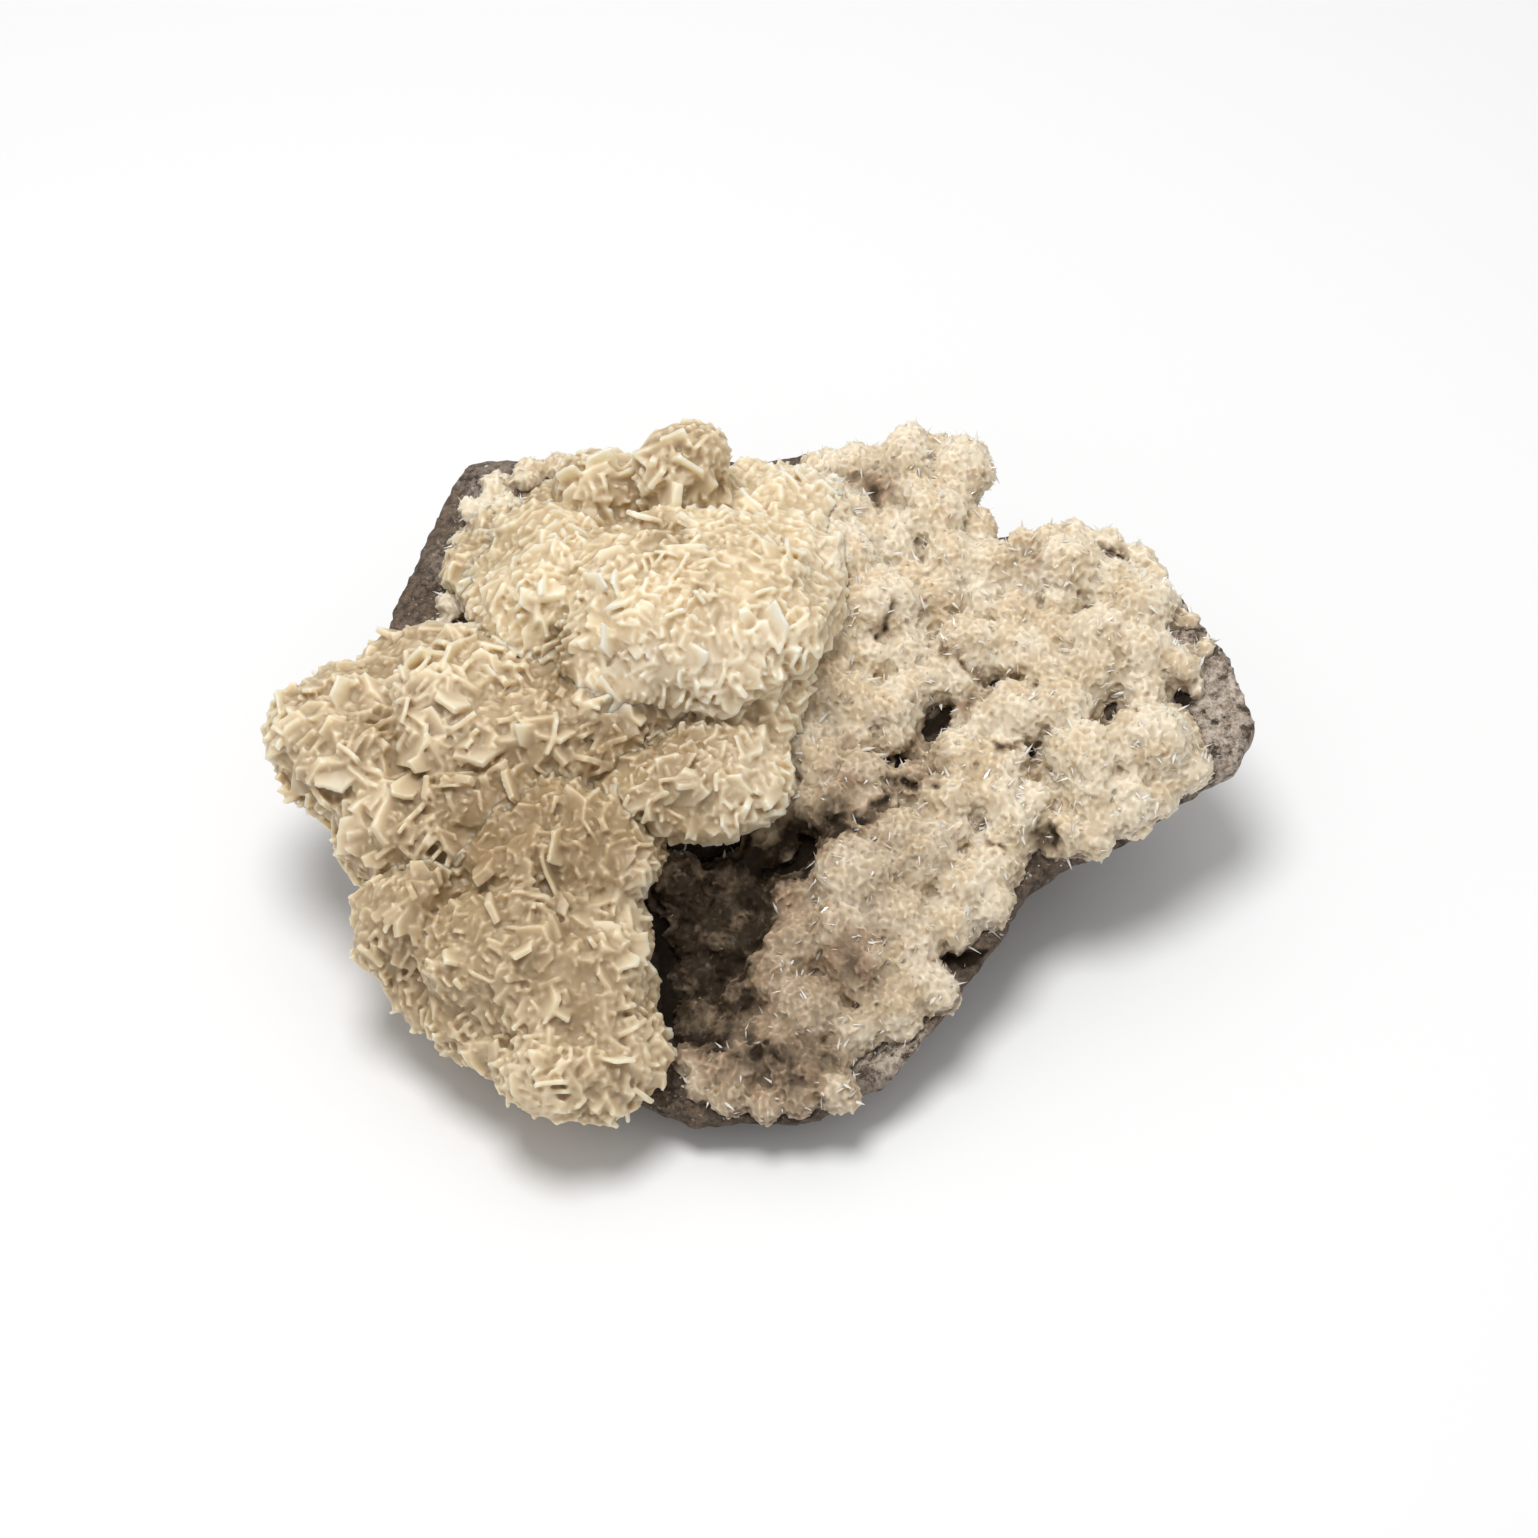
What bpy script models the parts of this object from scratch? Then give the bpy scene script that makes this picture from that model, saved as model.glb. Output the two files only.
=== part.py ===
"""Cerussite specimen: a hand-sized slab of rock, its top grown over with crystals.

matrix_rock      the slab of grey-brown rock, broken all round, with a flat face under it to rest on
druse_crust      the pale crust of small lumps over the right half and the front slope of its top
bladed_crystals  the cream mass of tabular crystals over the left half, in domes and lobes

The frame has X to the right, Y to the back and Z up. Its origin is on the surface that the specimen
rests on, under the middle of it. Every table and named value is in millimetres.
"""

import math
import random

import bmesh
import bpy
from mathutils import Matrix, Vector, noise
from mathutils.bvhtree import BVHTree

MM = 0.001

# Where the tables' zero lies in the frame, which has its own under the middle of the whole
TABLES_ZERO = (0.0, -3.1)

# Driving dimensions of the slab
ROCK_CENTRE = (0.0, 4.0)
FOOT_CENTRE = (-2.0, 13.0)
TOP_HEIGHT = 20.0
TOP_RISE_BACK = 0.33
TOP_RISE_RIGHT = 0.05
GAP = 0.35

# The slab's rim, clockwise from the back left corner: x, y, height of its upper and its lower edge
RIM = [
    (-37.5, 45.0, 30.5, 13.0),
    (-23.0, 45.8, 30.5, 10.0),
    (-7.0, 45.2, 30.5, 8.0),
    (8.0, 45.6, 32.0, 9.0),
    (23.0, 43.5, 31.5, 12.0),
    (27.0, 34.0, 28.0, 14.0),
    (35.0, 33.0, 31.0, 16.0),
    (43.0, 29.5, 31.0, 17.0),
    (50.0, 23.0, 29.5, 18.0),
    (54.5, 15.5, 28.0, 18.5),
    (58.0, 7.5, 25.5, 18.5),
    (55.5, 3.0, 22.5, 17.5),
    (48.5, 0.5, 20.5, 15.5),
    (41.0, -5.0, 19.0, 13.5),
    (30.5, -10.5, 17.0, 11.5),
    (25.0, -20.0, 14.5, 9.5),
    (20.0, -27.5, 12.0, 7.5),
    (13.5, -33.5, 9.5, 5.5),
    (4.0, -38.0, 7.5, 4.0),
    (-8.0, -36.5, 6.5, 3.5),
    (-22.0, -32.0, 7.5, 4.0),
    (-36.0, -22.0, 11.0, 6.5),
    (-44.0, -7.0, 17.5, 10.0),
    (-48.0, 8.0, 22.5, 13.0),
    (-46.5, 21.0, 25.5, 14.0),
    (-42.5, 34.0, 27.5, 13.5),
]
ROCK_ROUGHNESS = ((14.0, 0.9), (5.0, 0.55))

# The hollow between the crystal lobes: x, y, its two half widths and its depth
GULLY = (-5.0, -11.0, 8.0, 13.0, 10.5)

# The view that the druse's lumps are measured in: from the front, this many degrees above level, in steps
# of so many mm to the right of and down the view, with this step over the middle of the slab
VIEW_ELEVATION = 50.0
VIEW_STEP = 0.123
VIEW_MIDDLE = (770, 900)

# The lumps of the druse, row by row from the back: steps right, steps down, radius in steps
DRUSE_LUMPS = [
    (828, 470, 22),
    (857, 463, 21),
    (907, 457, 30),
    (967, 467, 32),
    (840, 515, 28),
    (890, 540, 27),
    (940, 517, 27),
    (977, 527, 20),
    (877, 607, 40),
    (953, 560, 27),
    (993, 567, 23),
    (937, 593, 23),
    (980, 597, 23),
    (1013, 607, 23),
    (1033, 580, 23),
    (1070, 567, 30),
    (1113, 583, 27),
    (1143, 607, 30),
    (1053, 633, 23),
    (1100, 637, 30),
    (1140, 653, 30),
    (1173, 667, 20),
    (967, 650, 33),
    (1013, 647, 27),
    (940, 673, 23),
    (910, 687, 23),
    (1050, 668, 25),
    (1093, 670, 28),
    (1143, 693, 23),
    (847, 697, 30),
    (887, 713, 27),
    (853, 740, 22),
    (897, 740, 20),
    (980, 720, 23),
    (1013, 713, 30),
    (1063, 707, 30),
    (960, 753, 26),
    (1000, 767, 27),
    (1080, 760, 33),
    (1150, 740, 37),
    (1180, 757, 16),
    (1172, 778, 18),
    (840, 787, 43),
    (910, 783, 17),
    (947, 803, 26),
    (997, 797, 25),
    (1033, 803, 18),
    (1090, 790, 27),
    (1130, 793, 24),
    (1100, 815, 20),
    (900, 836, 26),
    (940, 832, 26),
    (1013, 825, 24),
    (1062, 835, 18),
    (847, 850, 28),
    (890, 873, 30),
    (923, 860, 30),
    (967, 883, 28),
    (993, 862, 25),
    (988, 900, 20),
    (854, 880, 40),
    (894, 914, 29),
    (945, 926, 26),
    (800, 943, 29),
    (843, 931, 34),
    (780, 977, 31),
    (860, 966, 36),
    (912, 950, 26),
    (918, 980, 24),
    (938, 992, 18),
    (806, 1011, 33),
    (886, 1004, 24),
    (856, 1028, 20),
    (740, 1003, 24),
    (729, 1036, 18),
    (768, 1030, 18),
    (780, 1052, 23),
    (803, 1066, 22),
    (835, 1061, 16),
    (717, 1068, 20),
    (742, 1077, 16),
    (788, 1080, 17),
    (677, 883, 26),
    (740, 894, 26),
    (712, 937, 26),
    (745, 945, 22),
    (700, 985, 22),
    (708, 1030, 18),
    (790, 900, 24),
    (770, 850, 26),
    (800, 740, 26),
    (805, 660, 28),
    (815, 590, 26),
    (800, 810, 24),
]

# Half width and half height of a lump and of the flat foot under it, as shares of its radius
LUMP_SHARES = (1.0, 0.85)
FOOT_SHARES = (1.62, 0.4)
LUMP_STRETCH = 0.18
LUMP_RISE = (0.0, 0.3)
LUMP_COVER = 2.0
DRUSE_VOXEL = 0.6
DRUSE_TRIANGLES = 1500
DRUSE_CLEARANCE = 0.9

# The lobes of the bladed mass: name, centre, half sizes out to the crystals' tips, turn about Z in degrees
LOBES = [
    ("dome_top", (-8.5, 15.5, 36.5), (17.0, 14.5, 10.5), 0),
    ("dome_rim", (-13.0, 11.0, 34.5), (14.5, 10.5, 5.5), 0),
    ("dome_skirt", (-10.0, -1.5, 26.5), (14.5, 11.0, 6.5), 0),
    ("dome_left", (-23.5, 21.0, 31.5), (14.0, 14.5, 9.5), 20),
    ("dome_right", (1.5, 20.0, 34.0), (9.0, 12.0, 8.5), 0),
    ("dome_foot", (-22.0, 7.0, 27.0), (16.0, 14.0, 9.5), 0),
    ("back_shelf", (-0.5, 33.5, 34.0), (10.5, 9.0, 7.0), 0),
    ("upper_left", (-29.5, 29.5, 28.5), (10.5, 12.5, 7.0), 15),
    ("upper_corner", (-29.0, 38.5, 28.0), (8.5, 7.5, 5.5), 0),
    ("peak", (-10.5, 34.0, 40.5), (7.5, 6.5, 9.5), 0),
    ("peak_shoulder", (-18.5, 36.0, 35.0), (8.0, 7.0, 7.5), 0),
    ("left_lobe", (-48.5, 4.5, 24.5), (10.5, 11.5, 9.5), 0),
    ("left_back", (-42.0, 13.5, 25.5), (9.5, 8.5, 7.5), 0),
    ("left_middle", (-34.0, 6.5, 27.5), (14.0, 13.0, 9.0), 0),
    ("left_low", (-43.0, -5.5, 21.5), (9.5, 9.5, 9.0), 0),
    ("left_fill", (-33.0, -5.0, 23.0), (13.0, 11.0, 9.0), 0),
    ("front_upper", (-25.0, -10.0, 23.0), (14.5, 10.5, 9.0), 0),
    ("front_left", (-40.0, -15.5, 16.5), (11.0, 9.0, 9.0), 20),
    ("front_middle", (-26.0, -20.5, 17.5), (15.5, 12.5, 9.5), 0),
    ("front_fill", (-34.5, -24.0, 13.0), (10.5, 9.0, 7.5), 30),
    ("front_lobe", (-21.0, -31.0, 13.0), (12.0, 11.5, 8.5), 0),
]
CORE_DEPTH = 2.6
CORE_VOXEL = 1.0
CORE_TRIANGLES = 420

# Blades: spacing, sizes from smallest to largest, depth of root, lean, and width of patches that swirl alike
BLADE_SPACING = 4.15
BLADE_TRIES = 9000
BLADE_HEIGHT = (2.6, 4.6)
BLADE_WIDTH = (4.5, 8.0)
BLADE_THICKNESS = (1.6, 2.4)
BLADE_ROOT = 1.4
BLADE_TILT = 0.7
SWIRL_PATCH = 9.0

# No blade stands where the mass faces down more than this, lower than this or this near its neighbours
LOWEST_FACING = -0.45
LOWEST_BLADE = 6.0
ROCK_CLEARANCE = 1.0
CRUST_CLEARANCE = 0.5


def shape_noise(point, size, seed):
    """Smooth noise from -1 to 1 whose bumps are about size across."""
    return noise.noise(Vector(point) / size + Vector((seed * 7.3, seed * 3.1, seed * 5.7)))


def clear_scene():
    """Starts from an empty scene."""
    for old in list(bpy.data.objects):
        bpy.data.objects.remove(old)


def matte(name, colour, roughness):
    """A plain non-metal material."""
    made = bpy.data.materials.new(name)
    made.use_nodes = True
    shader = made.node_tree.nodes["Principled BSDF"]
    shader.inputs["Base Color"].default_value = (*colour, 1.0)
    shader.inputs["Roughness"].default_value = roughness
    shader.inputs["Metallic"].default_value = 0.0
    return made


def object_from(bm, name):
    """The bmesh, in millimetres, as an object in metres."""
    bmesh.ops.scale(bm, vec=(MM, MM, MM), verts=bm.verts)
    mesh = bpy.data.meshes.new(name)
    bm.to_mesh(mesh)
    bm.free()
    made = bpy.data.objects.new(name, mesh)
    bpy.context.scene.collection.objects.link(made)
    return made


def evaluate(obj):
    """Applies the object's modifiers."""
    graph = bpy.context.evaluated_depsgraph_get()
    mesh = bpy.data.meshes.new_from_object(obj.evaluated_get(graph))
    obj.modifiers.clear()
    obj.data = mesh


def surface_of(obj):
    """A search tree of the object's surface, in millimetres."""
    points = [v.co / MM for v in obj.data.vertices]
    return BVHTree.FromPolygons(points, [tuple(p.vertices) for p in obj.data.polygons])


def plateau(x, y):
    """Height of the slab's broken top, which rises to the back, with the gully let into it."""
    gx, gy, wide, deep, depth = GULLY
    near = ((x - gx) / wide) ** 2 + ((y - gy) / deep) ** 2
    return TOP_HEIGHT + TOP_RISE_BACK * y + TOP_RISE_RIGHT * x - depth * math.exp(-near)


def rock_section(x, y, top, bottom):
    """One section of the slab, from inside its top, over the rim and down to the resting face."""

    def above(share, keep):
        px, py = (c + (p - c) * share for p, c in zip((x, y), ROCK_CENTRE))
        return Vector((px, py, plateau(px, py) * (1.0 - keep) + top * keep))

    def below(share, height):
        px, py = (c + (p - c) * share for p, c in zip((x, y), FOOT_CENTRE))
        return Vector((px, py, height))

    return [
        above(0.58, 0.0),
        above(0.82, 0.25),
        above(0.93, 0.6),
        above(1.0, 1.0),
        below(1.0, (top + bottom) / 2),
        below(0.94, bottom),
        below(0.76, bottom * 0.42),
        below(0.6, 0.0),
    ]


def roughen_rock(bm):
    """Breaks up every face but the resting one."""
    bm.normal_update()
    moves = []
    for v in bm.verts:
        if v.co.z < 0.01:
            continue
        push = sum(depth * shape_noise(v.co, size, 1) for size, depth in ROCK_ROUGHNESS)
        moves.append((v, v.normal * push))
    for v, move in moves:
        v.co += move
        v.co.z = max(v.co.z, 0.5)


def build_rock():
    """The slab: its sections joined round the rim, a middle point on top and one flat face below."""
    bm = bmesh.new()
    sections = [[bm.verts.new(p) for p in rock_section(*station)] for station in RIM]
    count = len(sections)
    cx, cy = ROCK_CENTRE
    middle = bm.verts.new((cx, cy, plateau(cx, cy)))
    for i, section in enumerate(sections):
        after = sections[(i + 1) % count]
        bm.faces.new((middle, section[0], after[0]))
        for k in range(len(section) - 1):
            bm.faces.new((section[k], section[k + 1], after[k + 1], after[k]))
    bm.faces.new([section[-1] for section in reversed(sections)])
    bmesh.ops.recalc_face_normals(bm, faces=bm.faces)
    sides = [f for f in bm.faces if len(f.verts) < 5]
    edges = list({e for f in sides for e in f.edges})
    bmesh.ops.subdivide_edges(bm, edges=edges, cuts=1, use_grid_fill=True)
    roughen_rock(bm)
    bmesh.ops.triangulate(bm, faces=bm.faces)
    return object_from(bm, "matrix_rock")


def add_ellipsoid(bm, centre, sizes, turn=0.0, detail=3):
    """A ball stretched to three half sizes and turned about Z."""
    place = Matrix.Translation(centre) @ Matrix.Rotation(turn, 4, "Z") @ Matrix.Diagonal((*sizes, 1.0))
    bmesh.ops.create_icosphere(bm, subdivisions=detail, radius=1.0, matrix=place)


def fuse(obj, voxel, triangles):
    """Melts overlapping closed shapes into one skin with about that many triangles."""
    remesh = obj.modifiers.new("one_skin", "REMESH")
    remesh.mode = "VOXEL"
    remesh.voxel_size = voxel * MM
    evaluate(obj)
    thin = obj.modifiers.new("fewer_faces", "DECIMATE")
    thin.ratio = triangles / (2 * len(obj.data.polygons))
    evaluate(obj)


def keep_largest(obj):
    """Drops loose crumbs and sealed bubbles, and keeps the one connected skin that is largest."""
    bm = bmesh.new()
    bm.from_mesh(obj.data)
    bmesh.ops.remove_doubles(bm, verts=bm.verts, dist=0.002 * MM)
    bmesh.ops.dissolve_degenerate(bm, edges=bm.edges, dist=0.002 * MM)
    left = set(bm.faces)
    skins = []
    while left:
        skin = set()
        front = [left.pop()]
        while front:
            face = front.pop()
            skin.add(face)
            pairs = (edge.link_faces for edge in face.edges if len(edge.link_faces) == 2)
            for other in {other for pair in pairs for other in pair} & left:
                left.remove(other)
                front.append(other)
        skins.append(skin)
    skins.sort(key=len)
    loose = [face for skin in skins[:-1] for face in skin]
    bmesh.ops.delete(bm, geom=loose, context="FACES")
    bmesh.ops.triangulate(bm, faces=bm.faces)
    bm.to_mesh(obj.data)
    bm.free()


def grown_copy(obj, by):
    """A copy of a solid whose skin stands out by that much, to cut its neighbours clear of it."""
    bm = bmesh.new()
    bm.from_mesh(obj.data)
    bm.normal_update()
    for v in bm.verts:
        v.co += v.normal * by * MM
    mesh = bpy.data.meshes.new(obj.name + "_clearance")
    bm.to_mesh(mesh)
    bm.free()
    made = bpy.data.objects.new(mesh.name, mesh)
    bpy.context.scene.collection.objects.link(made)
    made.hide_render = True
    made.display_type = "WIRE"
    return made


def cut(obj, *cutters):
    """Takes each cutter away from a solid, which stays one piece."""
    for cutter in cutters:
        step = obj.modifiers.new("clear_of_" + cutter.name, "BOOLEAN")
        step.operation = "DIFFERENCE"
        step.object = cutter
        step.use_self = True
        evaluate(obj)
        keep_largest(obj)


def spot_in_view(right, down):
    """Where a step of the view meets the slab's top, in plan."""
    lean = math.radians(VIEW_ELEVATION)
    x = (right - VIEW_MIDDLE[0]) * VIEW_STEP
    height = (VIEW_MIDDLE[1] - down) * VIEW_STEP
    y = 0.0
    for _ in range(60):
        miss = height - y * math.sin(lean) - (plateau(x, y) + LUMP_COVER) * math.cos(lean)
        y += 0.5 * miss
    return x, y


def lumps_on(rock, swell):
    """The druse's lumps with a flat foot under each, all larger by swell all round."""
    rng = random.Random(11)
    ground = surface_of(rock)
    bm = bmesh.new()
    for right, down, steps in DRUSE_LUMPS:
        radius = steps * VIEW_STEP
        x, y = spot_in_view(right, down)
        spot, normal, _, _ = ground.find_nearest(Vector((x, y, plateau(x, y))))
        centre = spot + normal * rng.uniform(*LUMP_RISE) * radius
        stretch = 1.0 + rng.uniform(0.0, LUMP_STRETCH)
        turn = rng.uniform(0.0, math.pi)
        for place, (wide, tall) in ((centre, LUMP_SHARES), (spot, FOOT_SHARES)):
            sizes = (wide * stretch * radius, wide / stretch * radius, tall * radius)
            add_ellipsoid(bm, place, [size + swell for size in sizes], turn, detail=2)
    return bm


def build_druse(rock):
    """The lumps of the druse, sitting on the rock and melted into one crust."""
    druse = object_from(lumps_on(rock, 0.0), "druse_crust")
    fuse(druse, DRUSE_VOXEL, DRUSE_TRIANGLES)
    cut(druse, grown_copy(rock, GAP))
    return druse


def druse_clearance(rock):
    """A smooth solid that holds the druse with room to spare, to cut the blades clear of it."""
    room = object_from(lumps_on(rock, DRUSE_CLEARANCE), "druse_clearance")
    fuse(room, CORE_VOXEL, DRUSE_TRIANGLES)
    room.hide_render = True
    room.display_type = "WIRE"
    return room


def spread_points(obj, spacing, seed):
    """Points with normals spread over a skin, none nearer than spacing to another."""
    rng = random.Random(seed)
    mesh = obj.data
    mesh.calc_loop_triangles()
    triangles = list(mesh.loop_triangles)
    areas = [t.area for t in triangles]
    chosen = []
    for t in rng.choices(triangles, weights=areas, k=BLADE_TRIES):
        a, b, c = (mesh.vertices[i].co / MM for i in t.vertices)
        u, v = sorted((rng.random(), rng.random()))
        point = a * u + b * (v - u) + c * (1 - v)
        if all((point - other).length_squared > spacing**2 for other, _ in chosen):
            na, nb, nc = (mesh.vertices[i].normal for i in t.vertices)
            normal = (na * u + nb * (v - u) + nc * (1 - v)).normalized()
            chosen.append((point, normal))
    return chosen


def add_blade(bm, root, out, flat, height, width, thick):
    """A tabular crystal: a wedge that stands on its root and ends in a slanting chisel edge."""
    along = out.cross(flat).normalized()

    def corner(a, b, c):
        return bm.verts.new(root + along * (a * width) + out * b + flat * (c * thick))

    front = [corner(-0.36, -BLADE_ROOT, -0.5), corner(0.36, -BLADE_ROOT, -0.5)]
    back = [corner(-0.36, -BLADE_ROOT, 0.5), corner(0.36, -BLADE_ROOT, 0.5)]
    low, high = corner(-0.5, 0.5 * height, 0.0), corner(0.32, height, 0.0)
    for face in (
        (front[0], front[1], high),
        (front[0], high, low),
        (back[1], back[0], low),
        (back[1], low, high),
        (front[1], back[1], high),
        (back[0], front[0], low),
        (front[1], front[0], back[0]),
        (front[1], back[0], back[1]),
    ):
        bm.faces.new(face)


def build_blades(rock, room):
    """The lobes melted into one core, the plates that stand on it, and both as one solid."""
    bm = bmesh.new()
    for _, centre, sizes, turn in LOBES:
        core_sizes = [s - CORE_DEPTH for s in sizes]
        add_ellipsoid(bm, centre, core_sizes, math.radians(turn))
    mass = object_from(bm, "bladed_crystals")
    fuse(mass, CORE_VOXEL, CORE_TRIANGLES)
    ground = surface_of(rock)
    crust = surface_of(room)
    rng = random.Random(5)
    plates = bmesh.new()
    for point, normal in spread_points(mass, BLADE_SPACING, seed=3):
        if normal.z < LOWEST_FACING or point.z < LOWEST_BLADE:
            continue
        above = point + normal * BLADE_ROOT
        if ground.find_nearest(above)[3] < ROCK_CLEARANCE or crust.find_nearest(point)[3] < CRUST_CLEARANCE:
            continue
        swirl = 2 * math.pi * shape_noise(point, SWIRL_PATCH, 4) + rng.uniform(-0.5, 0.5)
        guide = Vector((math.cos(swirl), math.sin(swirl), rng.uniform(-0.4, 0.4)))
        flat = guide.cross(normal).normalized()
        out = (normal + flat * rng.uniform(-BLADE_TILT, BLADE_TILT)).normalized()
        flat = (flat - out * flat.dot(out)).normalized()
        sizes = (rng.uniform(*r) for r in (BLADE_HEIGHT, BLADE_WIDTH, BLADE_THICKNESS))
        add_blade(plates, point, out, flat, *sizes)
    bmesh.ops.recalc_face_normals(plates, faces=plates.faces)
    blades = object_from(plates, "blades_to_join")
    blades.hide_render = True
    join = mass.modifiers.new("blades", "BOOLEAN")
    join.operation = "UNION"
    join.object = blades
    join.use_self = True
    evaluate(mass)
    keep_largest(mass)
    bpy.data.objects.remove(blades)
    cut(mass, grown_copy(rock, GAP), room)
    return mass


def main():
    """Builds the three solids."""
    clear_scene()
    rock = build_rock()
    druse = build_druse(rock)
    blades = build_blades(rock, druse_clearance(rock))
    rock.data.materials.append(matte("rock", (0.16, 0.115, 0.08), 0.85))
    druse.data.materials.append(matte("druse", (0.72, 0.60, 0.44), 0.45))
    blades.data.materials.append(matte("blades", (0.72, 0.58, 0.38), 0.35))
    for part in (rock, druse, blades):
        part.data.transform(Matrix.Translation((TABLES_ZERO[0] * MM, TABLES_ZERO[1] * MM, 0.0)))


main()
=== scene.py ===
"""The looks of the cerussite specimen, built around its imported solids.

slab_surface     the broken rock, with its grain and chips
blades_*         the bladed mass: plates, some on edge and some that show a face, melted into their core
druse_crystals   the druse: fine crystals melted into its lumps
clear_grains     the fewer, larger and clearer crystals that glint on it
fringe_crystals  the last scattered crystals on the bare rock beside both crusts

Lengths are in millimetres until a mesh is made. The lobes are the source's, in its own zero. Some at
the front and the peak are moved or turned a little, and three are added, to follow the photograph.
"""

import math
import random
from collections import namedtuple

import bmesh
import bpy
import numpy as np
from mathutils import Matrix, Vector, noise
from mathutils.bvhtree import BVHTree


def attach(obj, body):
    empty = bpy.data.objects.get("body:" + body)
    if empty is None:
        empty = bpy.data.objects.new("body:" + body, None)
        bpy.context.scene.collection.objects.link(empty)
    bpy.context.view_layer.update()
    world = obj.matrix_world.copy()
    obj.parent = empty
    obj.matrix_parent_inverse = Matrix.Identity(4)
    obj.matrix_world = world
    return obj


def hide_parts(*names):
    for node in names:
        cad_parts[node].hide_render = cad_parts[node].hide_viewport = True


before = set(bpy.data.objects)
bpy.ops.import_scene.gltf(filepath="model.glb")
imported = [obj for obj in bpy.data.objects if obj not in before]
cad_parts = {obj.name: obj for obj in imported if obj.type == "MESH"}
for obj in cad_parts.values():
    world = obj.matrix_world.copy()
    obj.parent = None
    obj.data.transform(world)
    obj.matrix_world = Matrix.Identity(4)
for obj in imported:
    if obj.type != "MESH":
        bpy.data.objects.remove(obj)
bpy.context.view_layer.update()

MM = 0.001
BODY = "root"

# Where the tables' zero lies in the frame
TABLES_ZERO = Vector((0.0, -3.1, 0.0))

# The way that rays are counted along, in line with nothing in the tables
SKEWED = Vector((0.3127, 0.2213, 0.9237)).normalized()

# The photograph: its side in pixels, mm to a pixel at the frame's origin, that origin's pixel, and the lens
PHOTO_SIDE = 1538
PIXEL = 0.123
ORIGIN_PIXEL = (770.0, 880.7)
VIEW_ELEVATION = 50.0
LENS = 90.0
SENSOR = 36.0

# The lobes of the bladed mass: style, centre, half sizes out to the crystals' tips, turn about Z in degrees
LOBES = [
    ("dome", (-8.5, 15.5, 36.5), (17.0, 14.5, 10.5), 0),
    ("rim", (-13.0, 11.0, 34.5), (14.5, 10.5, 5.5), 0),
    ("rim", (-10.0, -1.5, 26.5), (14.5, 11.0, 6.5), 0),
    ("rim", (-3.0, 8.0, 29.0), (9.0, 8.0, 6.0), 0),
    ("dome", (-23.5, 21.0, 31.5), (14.0, 14.5, 9.5), 20),
    ("dome", (1.5, 20.0, 34.0), (9.0, 12.0, 8.5), 0),
    ("left", (-22.0, 7.0, 27.0), (16.0, 14.0, 9.5), 0),
    ("dome", (-0.5, 33.5, 34.0), (10.5, 9.0, 7.0), 0),
    ("upper", (-29.5, 29.5, 28.5), (10.5, 12.5, 7.0), 15),
    ("upper", (-29.0, 38.5, 28.0), (8.5, 7.5, 5.5), 0),
    ("peak", (-10.5, 32.5, 39.5), (7.5, 6.5, 9.0), 0),
    ("peak", (-18.5, 35.0, 34.5), (8.0, 7.0, 7.5), 0),
    ("left", (-48.5, 4.5, 24.5), (10.5, 11.5, 9.5), 0),
    ("left", (-42.0, 13.5, 25.5), (9.5, 8.5, 7.5), 0),
    ("left", (-34.0, 6.5, 27.5), (14.0, 13.0, 9.0), 0),
    ("left", (-43.0, -5.5, 21.5), (9.5, 9.5, 9.0), 0),
    ("left", (-33.0, -5.0, 23.0), (13.0, 11.0, 9.0), 0),
    ("front", (-25.0, -10.0, 23.0), (14.5, 10.5, 9.0), 0),
    ("front", (-40.0, -15.5, 16.5), (11.0, 9.0, 9.0), 20),
    ("front", (-27.3, -20.5, 17.5), (15.2, 12.5, 9.5), 0),
    ("front", (-34.0, -24.5, 13.0), (12.0, 8.8, 7.5), -35),
    ("front", (-22.0, -30.5, 13.0), (11.5, 11.5, 8.5), 0),
    ("front", (-24.0, -26.0, 15.5), (12.5, 11.0, 9.0), 0),
    ("front", (-31.5, -28.0, 11.0), (9.5, 7.5, 6.5), -25),
]

# A style of plates: ranges of half width, of rise above the core and of thickness on edge, the spacing,
# the share that shows its face, and how tan it is, partly as tan colour and partly as painted shade
Style = namedtuple("Style", "halves rises thicks spacing faces tone")
STYLES = {
    "dome": Style((1.0, 2.9), (0.3, 1.4), (0.36, 0.5), 1.15, 0.5, 0.1),
    "rim": Style((1.4, 3.2), (0.4, 1.7), (0.38, 0.52), 1.25, 0.5, 0.14),
    "upper": Style((0.9, 2.3), (0.25, 1.1), (0.36, 0.5), 1.1, 0.45, 0.68),
    "peak": Style((1.6, 3.4), (0.3, 1.0), (0.4, 0.65), 1.4, 0.6, 0.62),
    "left": Style((1.4, 3.9), (0.4, 1.9), (0.4, 0.75), 1.4, 0.5, 0.72),
    "front": Style((1.0, 2.7), (0.2, 1.3), (0.4, 0.65), 1.15, 0.45, 0.7),
}
FACE_THICKNESS = (0.45, 1.1)

# Small plates that fill the space between the others, in the same terms
FILL = Style((0.5, 1.3), (0.2, 0.75), (0.3, 0.42), 0.85, 0.35, 0.0)

# Plates that stand proud of the others: their share, and how many times higher they rise
PROUD_SHARE = 0.1
PROUD_RISE = 1.35

# Clusters of higher plates: how wide, and how many times a plate's rise the lowest and the highest stand
CLUSTER_SIZE = 6.0
CLUSTER_RISES = (0.4, 1.5)
CLUSTER_MIDDLE = 0.5
CLUSTER_CONTRAST = 0.9
CLUSTER_SHIFT = Vector((6.1, 2.9, 4.7))

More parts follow.
